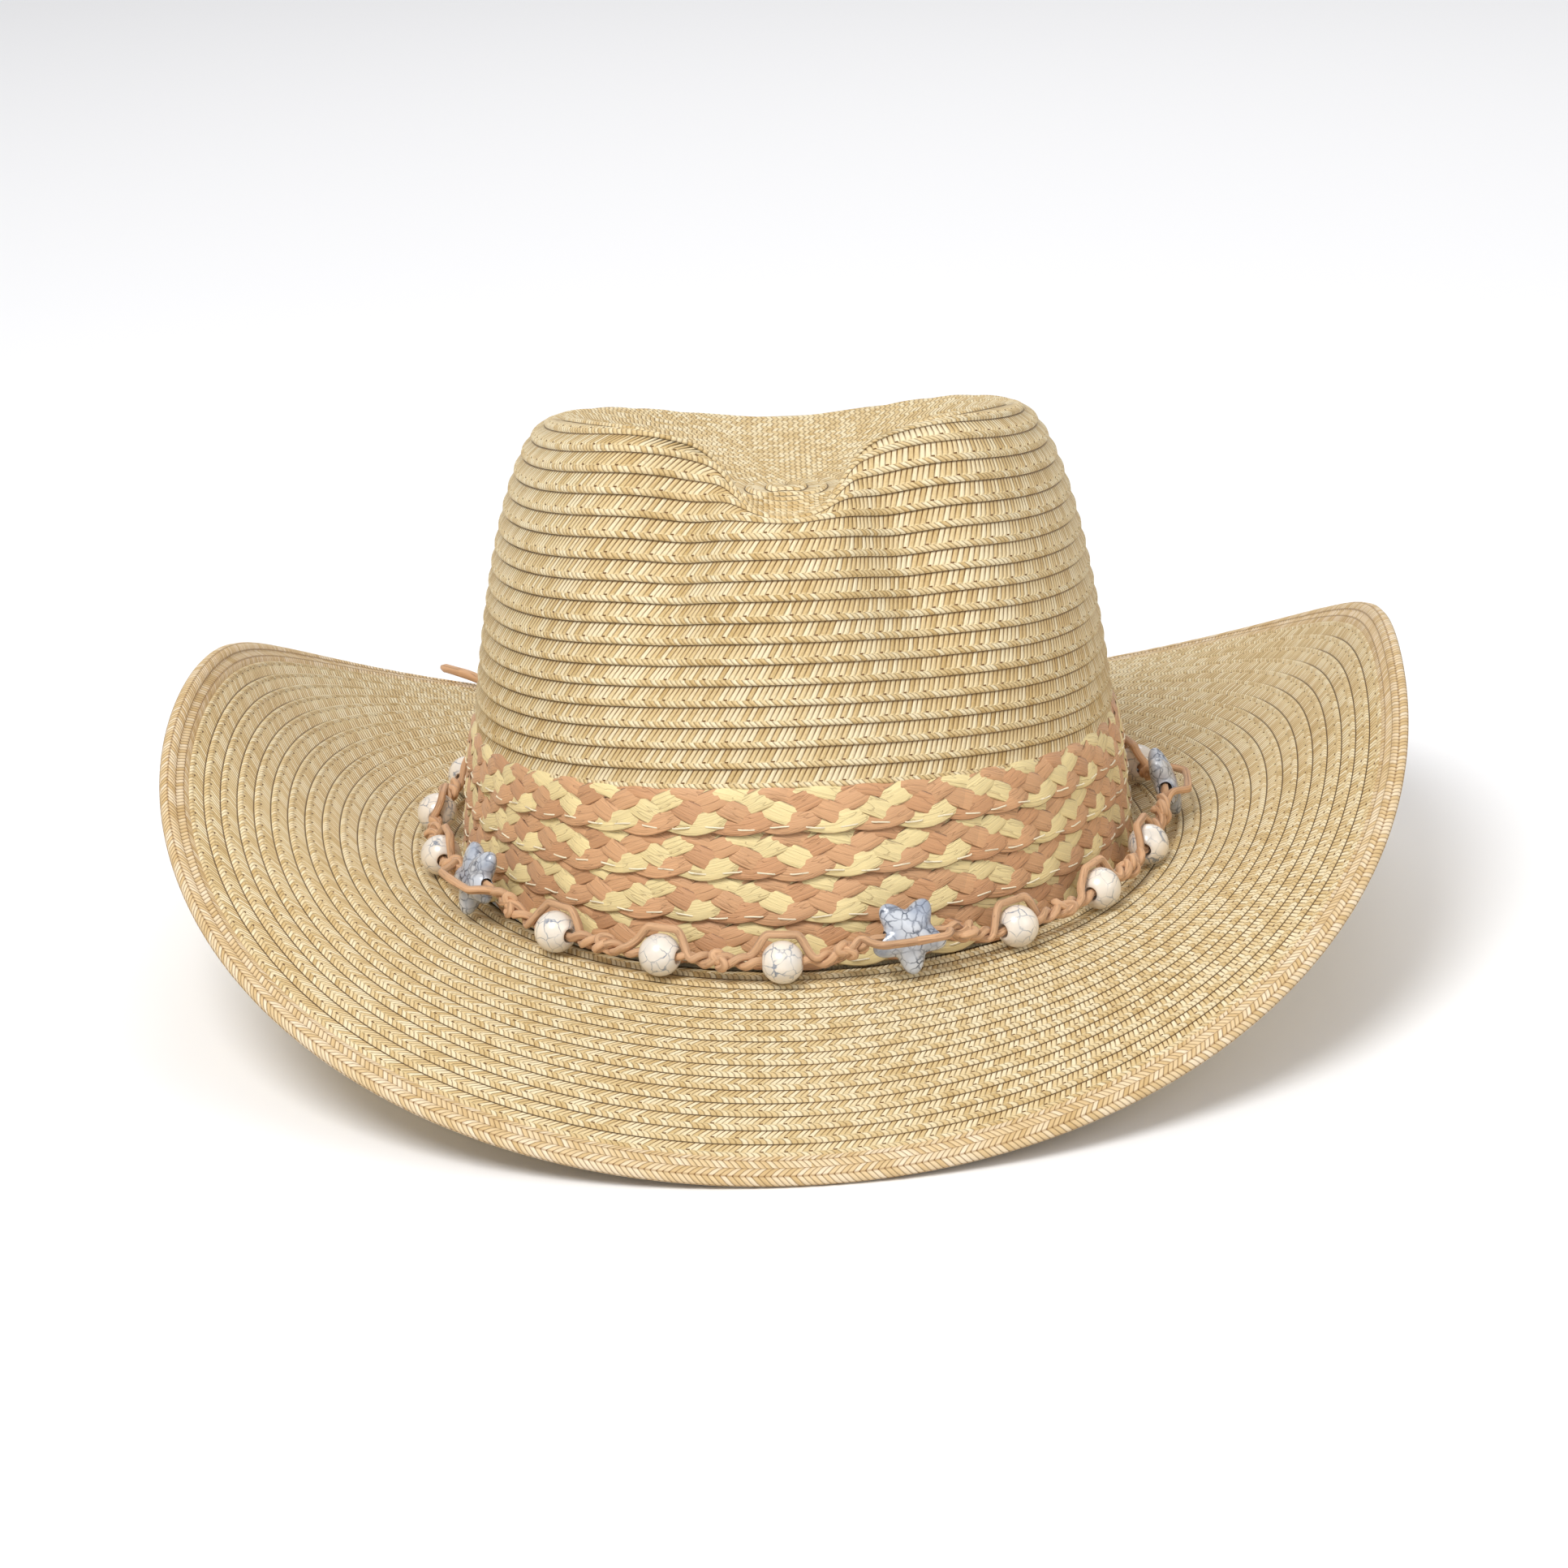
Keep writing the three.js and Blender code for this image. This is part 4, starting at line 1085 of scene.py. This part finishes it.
strand = node(tree, "ShaderNodeCombineXYZ", (which, row))
luck = node(tree, "ShaderNodeTexWhiteNoise", {"Vector": strand}, noise_dimensions="2D")
place = node(tree, "ShaderNodeTexCoord").node.outputs["Object"]
patch = node(tree, "ShaderNodeTexNoise", {"Vector": place, "Scale": 22.0, "Detail": 3.0})
patch = node(tree, "ShaderNodeMath", (patch, 0.35, 0.325), operation="MULTIPLY_ADD")
tone = node(tree, "ShaderNodeMath", (luck, 0.5, patch), operation="MULTIPLY_ADD")
straw_ramp = ((0.45, "#CBAA74"), (0.7, "#DEC293"), (1.0, "#EBD7B6"))
straw = node(tree, "ShaderNodeValToRGB", (tone,), ramp=straw_ramp)
# Painted shade: the gaps between yarns and the grooves between the leaning lanes are mixed towards brown.
painted_groove_shade = node(tree, "ShaderNodeMath", (lane, 0.5), operation="MULTIPLY")
painted_shade = node(tree, "ShaderNodeMath", (gap, 0.55, painted_groove_shade), operation="MULTIPLY_ADD")
colour = node(tree, "ShaderNodeMix", {0: painted_shade, 6: straw, 7: linear("#835C2B")}, data_type="RGBA")
tree.links.new(colour.node.outputs[2], shader.inputs["Base Color"])
ridge = node(tree, "ShaderNodeMath", (fold, 0.5), operation="POWER")
bump = node(tree, "ShaderNodeBump", {"Strength": 0.9, "Distance": 0.0005, "Height": ridge})
tree.links.new(bump, shader.inputs["Normal"])
dress([edge_row], herringbone)

# %% [markdown]
# ### Raffia
# Raffia is the skin of a palm leaf: long parallel fibres with a soft waxy sheen, creased lengthwise where
# it was split and folded. The plaits mix natural straw-yellow strips with ones dyed a warm tan. The
# fibres are finer than 0.3 mm and are drawn as streaks along each strip.

# %% Raffia material
def raffia(name, ramp, strips, creases, streak_mm, roughness):
    """ramp gives each strip's colour in turn; streaks are streak_mm wide."""
    made, tree, shader = new_material(name, roughness, ior=1.45)
    u, v = strip_pattern(tree)
    strip_number = node(tree, "ShaderNodeMath", (v,), operation="FLOOR")
    across = node(tree, "ShaderNodeMath", (v,), operation="FRACT")
    share = node(tree, "ShaderNodeMath", (strip_number, 1 / strips, 0.5 / strips), operation="MULTIPLY_ADD")
    dye = node(tree, "ShaderNodeValToRGB", (share,), ramp=ramp)
    dye.node.color_ramp.interpolation = "CONSTANT"
    fibre_place = node(tree, "ShaderNodeCombineXYZ", (
        node(tree, "ShaderNodeMath", (u, 0.1), operation="MULTIPLY"),
        node(tree, "ShaderNodeMath", (v, 5 / streak_mm), operation="MULTIPLY"),
    ))
    fibres = node(tree, "ShaderNodeTexNoise", {
        "Vector": fibre_place, "Scale": 1.0, "Detail": 4.0, "Roughness": 0.6,
    })
    crease_place = node(tree, "ShaderNodeCombineXYZ", (
        node(tree, "ShaderNodeMath", (u, 0.06), operation="MULTIPLY"),
        node(tree, "ShaderNodeMath", (v, creases), operation="MULTIPLY"),
    ))
    crease = node(tree, "ShaderNodeTexNoise", {"Vector": crease_place, "Scale": 1.0, "Detail": 2.0})
    crease = node(tree, "ShaderNodeMath", (crease, 0.5), operation="SUBTRACT")
    crease = node(tree, "ShaderNodeMath", (crease,), operation="ABSOLUTE")
    crease = node(tree, "ShaderNodeMapRange", (crease, 0.0, 0.012, 1.0, 0.0), interpolation_type="SMOOTHSTEP")
    length_cell = node(tree, "ShaderNodeMath", (u, 1 / 14.7), operation="MULTIPLY")
    length_cell = node(tree, "ShaderNodeMath", (length_cell,), operation="FLOOR")
    cell = node(tree, "ShaderNodeCombineXYZ", (length_cell, strip_number))
    luck = node(tree, "ShaderNodeTexWhiteNoise", {"Vector": cell}, noise_dimensions="2D")
    value = node(tree, "ShaderNodeMapRange", (fibres, 0.3, 0.7, 0.86, 1.1))
    value = node(tree, "ShaderNodeMath", (luck, 0.12, value), operation="MULTIPLY_ADD")
    value = node(tree, "ShaderNodeMath", (value, 0.06), operation="SUBTRACT")
    tinted = node(tree, "ShaderNodeHueSaturation", {"Value": value, "Color": dye})
    # Painted shade: the creases and the edges of each strip are mixed towards brown, where shade falls
    # between and within the strips.
    painted_edge_shade = node(tree, "ShaderNodeMath", (across, 0.5), operation="PINGPONG")
    painted_edge_shade = node(tree, "ShaderNodeMapRange", (painted_edge_shade, 0.02, 0.09, 0.45, 0.0), interpolation_type="SMOOTHSTEP")
    painted_shade = node(tree, "ShaderNodeMath", (crease, 0.35, painted_edge_shade), operation="MULTIPLY_ADD")
    colour = node(tree, "ShaderNodeMix", {0: painted_shade, 6: tinted, 7: linear("#7A4E26")}, data_type="RGBA")
    tree.links.new(colour.node.outputs[2], shader.inputs["Base Color"])
    height = node(tree, "ShaderNodeMath", (crease, -0.4, fibres), operation="MULTIPLY_ADD")
    bump = node(tree, "ShaderNodeBump", {"Strength": 0.7, "Distance": 0.0004, "Height": height})
    tree.links.new(bump, shader.inputs["Normal"])
    shader.inputs["Sheen Weight"].default_value = 0.15
    return made


NATURAL, TAN, DEEP_TAN, THREAD = "#E6D29A", "#CF9F74", "#C6946A", "#F3E7C8"
plait_dyes = tuple((k / 6, dye) for k, dye in enumerate((NATURAL, TAN, NATURAL, TAN, DEEP_TAN, THREAD)))
dress(plaits, raffia("plaited raffia", plait_dyes, STRANDS + 1, creases=2.2, streak_mm=0.3, roughness=0.5))
cord_dyes = ((0.0, "#CBA078"), (1.0, "#CBA078"))
cord_raffia = raffia("twisted raffia cord", cord_dyes, 1, creases=7.0, streak_mm=0.5, roughness=0.6)
dress([cord_string, *tails], cord_raffia)

# %% [markdown]
# ### Stone beads
# The balls are white magnesite: chalky cream with fine grey-blue crackle, polished and waxed. The stars
# are the same stone with the dye gone deeper, blue-grey with dense dark veins. Veins are the borders of
# random cells a few mm across, bent by noise.

# %% Stone material
def stone(name, body, vein, cell_mm, vein_mm, cloud, roughness):
    made, tree, shader = new_material(name, roughness, ior=1.55)
    place = node(tree, "ShaderNodeTexCoord").node.outputs["Object"]
    drift = node(tree, "ShaderNodeTexNoise", {"Vector": place, "Scale": 350.0, "Detail": 3.0})
    drift = drift.node.outputs["Color"]
    bent = node(tree, "ShaderNodeVectorMath", (drift, (0.5, 0.5, 0.5)), operation="SUBTRACT")
    bent = node(tree, "ShaderNodeVectorMath", (bent, (0.0022,) * 3, place), operation="MULTIPLY_ADD")
    cracks = {"Vector": bent, "Scale": 1000 / cell_mm}
    edge_of = node(tree, "ShaderNodeTexVoronoi", cracks, feature="DISTANCE_TO_EDGE")
    width = vein_mm / cell_mm
    near_edge = (edge_of, 0.0, width, 1.0, 0.0)
    line_of = node(tree, "ShaderNodeMapRange", near_edge, interpolation_type="SMOOTHSTEP")
    fade = node(tree, "ShaderNodeTexNoise", {"Vector": place, "Scale": 260.0, "Detail": 2.0})
    fade = node(tree, "ShaderNodeMapRange", (fade, 0.36, 0.62, 0.15, 1.0))
    line_of = node(tree, "ShaderNodeMath", (line_of, fade), operation="MULTIPLY")
    clouds = node(tree, "ShaderNodeTexNoise", {"Vector": place, "Scale": 180.0, "Detail": 3.0})
    ground = node(tree, "ShaderNodeValToRGB", (clouds,), ramp=((0.35, cloud), (0.62, body)))
    colour = node(tree, "ShaderNodeMix", {0: line_of, 6: ground, 7: linear(vein)}, data_type="RGBA")
    tree.links.new(colour.node.outputs[2], shader.inputs["Base Color"])
    bump = node(tree, "ShaderNodeBump", {"Strength": 0.3, "Distance": 0.0001, "Height": line_of}, invert=True)
    tree.links.new(bump, shader.inputs["Normal"])
    shader.inputs["Coat Weight"].default_value = 0.35
    shader.inputs["Coat Roughness"].default_value = 0.08
    return made


white_stone = stone("white magnesite", "#E9DFD0", "#7F8794", 3.4, 0.2, "#DAD3C8", roughness=0.28)
blue_stone = stone("blue-dyed magnesite", "#C6CAD0", "#434B5B", 2.4, 0.28, "#969EAD", roughness=0.22)
dress(bead_pieces["round"], white_stone)
dress(bead_pieces["star"], blue_stone)

# %% [markdown]
# ### Cotton tape and steel
# The sweatband is a twill tape with fine diagonal ribs. The brim wire is drawn spring steel, and its
# sleeve is the same metal pressed flat in places. Both are hidden, but a finished part has them right.

# %% Tape material
tape_made, tree, shader = new_material("cotton twill tape", roughness=0.85, ior=1.45)
u, v = strip_pattern(tree)
rib = node(tree, "ShaderNodeMath", (v, 100.0, u), operation="MULTIPLY_ADD")
rib = node(tree, "ShaderNodeMath", (rib, 0.6), operation="PINGPONG")
weft = node(tree, "ShaderNodeMath", (u, 0.35), operation="PINGPONG")
twill = node(tree, "ShaderNodeMath", (rib, weft), operation="ADD")
shade = node(tree, "ShaderNodeValToRGB", (twill,), ramp=((0.1, "#B9A57C"), (0.8, "#DDCBA2")))
tree.links.new(shade, shader.inputs["Base Color"])
bump = node(tree, "ShaderNodeBump", {"Strength": 0.6, "Distance": 0.0003, "Height": twill})
tree.links.new(bump, shader.inputs["Normal"])
shader.inputs["Sheen Weight"].default_value = 0.3
dress([tape], tape_made)

# %% Steel material
steel, tree, shader = new_material("drawn spring steel", roughness=0.35)
shader.inputs["Metallic"].default_value = 1.0
place = node(tree, "ShaderNodeTexCoord").node.outputs["Object"]
scratches = node(tree, "ShaderNodeTexNoise", {"Vector": place, "Scale": 900.0, "Detail": 4.0})
metal = node(tree, "ShaderNodeValToRGB", (scratches,), ramp=((0.3, "#85888C"), (0.7, "#A4A7AA")))
tree.links.new(metal, shader.inputs["Base Color"])
worn = node(tree, "ShaderNodeMapRange", (scratches, 0.3, 0.7, 0.28, 0.5))
tree.links.new(worn, shader.inputs["Roughness"])
dress([frame["nodes"]["brim_wire"], frame["nodes"]["wire_sleeve"]], steel)

# %% [markdown]
# ## Floor and light
# A pale seamless floor and large soft lights, as in a product studio. The main light comes from the upper
# left in front, so that each row of straw throws a thin shadow.

# %% Floor, lights and world
bpy.ops.object.select_all(action="DESELECT")
bpy.ops.mesh.primitive_plane_add(size=40)
floor = bpy.context.object
floor.name = "studio_floor"
paper, tree, shader = new_material("white backdrop paper", roughness=0.9)
mottle = node(tree, "ShaderNodeTexNoise", {"Scale": 3.0})
white = node(tree, "ShaderNodeValToRGB", (mottle,), ramp=((0.3, "#F6F6F6"), (0.7, "#F8F8F8")))
tree.links.new(white, shader.inputs["Base Color"])
dress([floor], paper)


def area_light(name, place, size, watts):
    bpy.ops.object.light_add(type="AREA", location=place)
    light = bpy.context.object
    light.name = name
    light.data.shape = "DISK"
    light.data.size = size
    light.data.energy = watts
    light.rotation_euler = (Vector((0, 0, 0.06)) - Vector(place)).to_track_quat("-Z", "Y").to_euler()
    return light


area_light("key_light", (-0.55, -1.0, 1.5), 0.9, 25)
area_light("fill_light", (1.3, -1.0, 1.0), 1.2, 7)
area_light("back_light", (0.2, 1.3, 1.5), 1.0, 7.5)
world = bpy.data.worlds.new("studio")
world.use_nodes = True
world.node_tree.nodes["Background"].inputs["Color"].default_value = linear("#FCFCFF")
world.node_tree.nodes["Background"].inputs["Strength"].default_value = 0.56
bpy.context.scene.world = world
bpy.context.scene.view_settings.view_transform = "Standard"  # keeps the white paper white
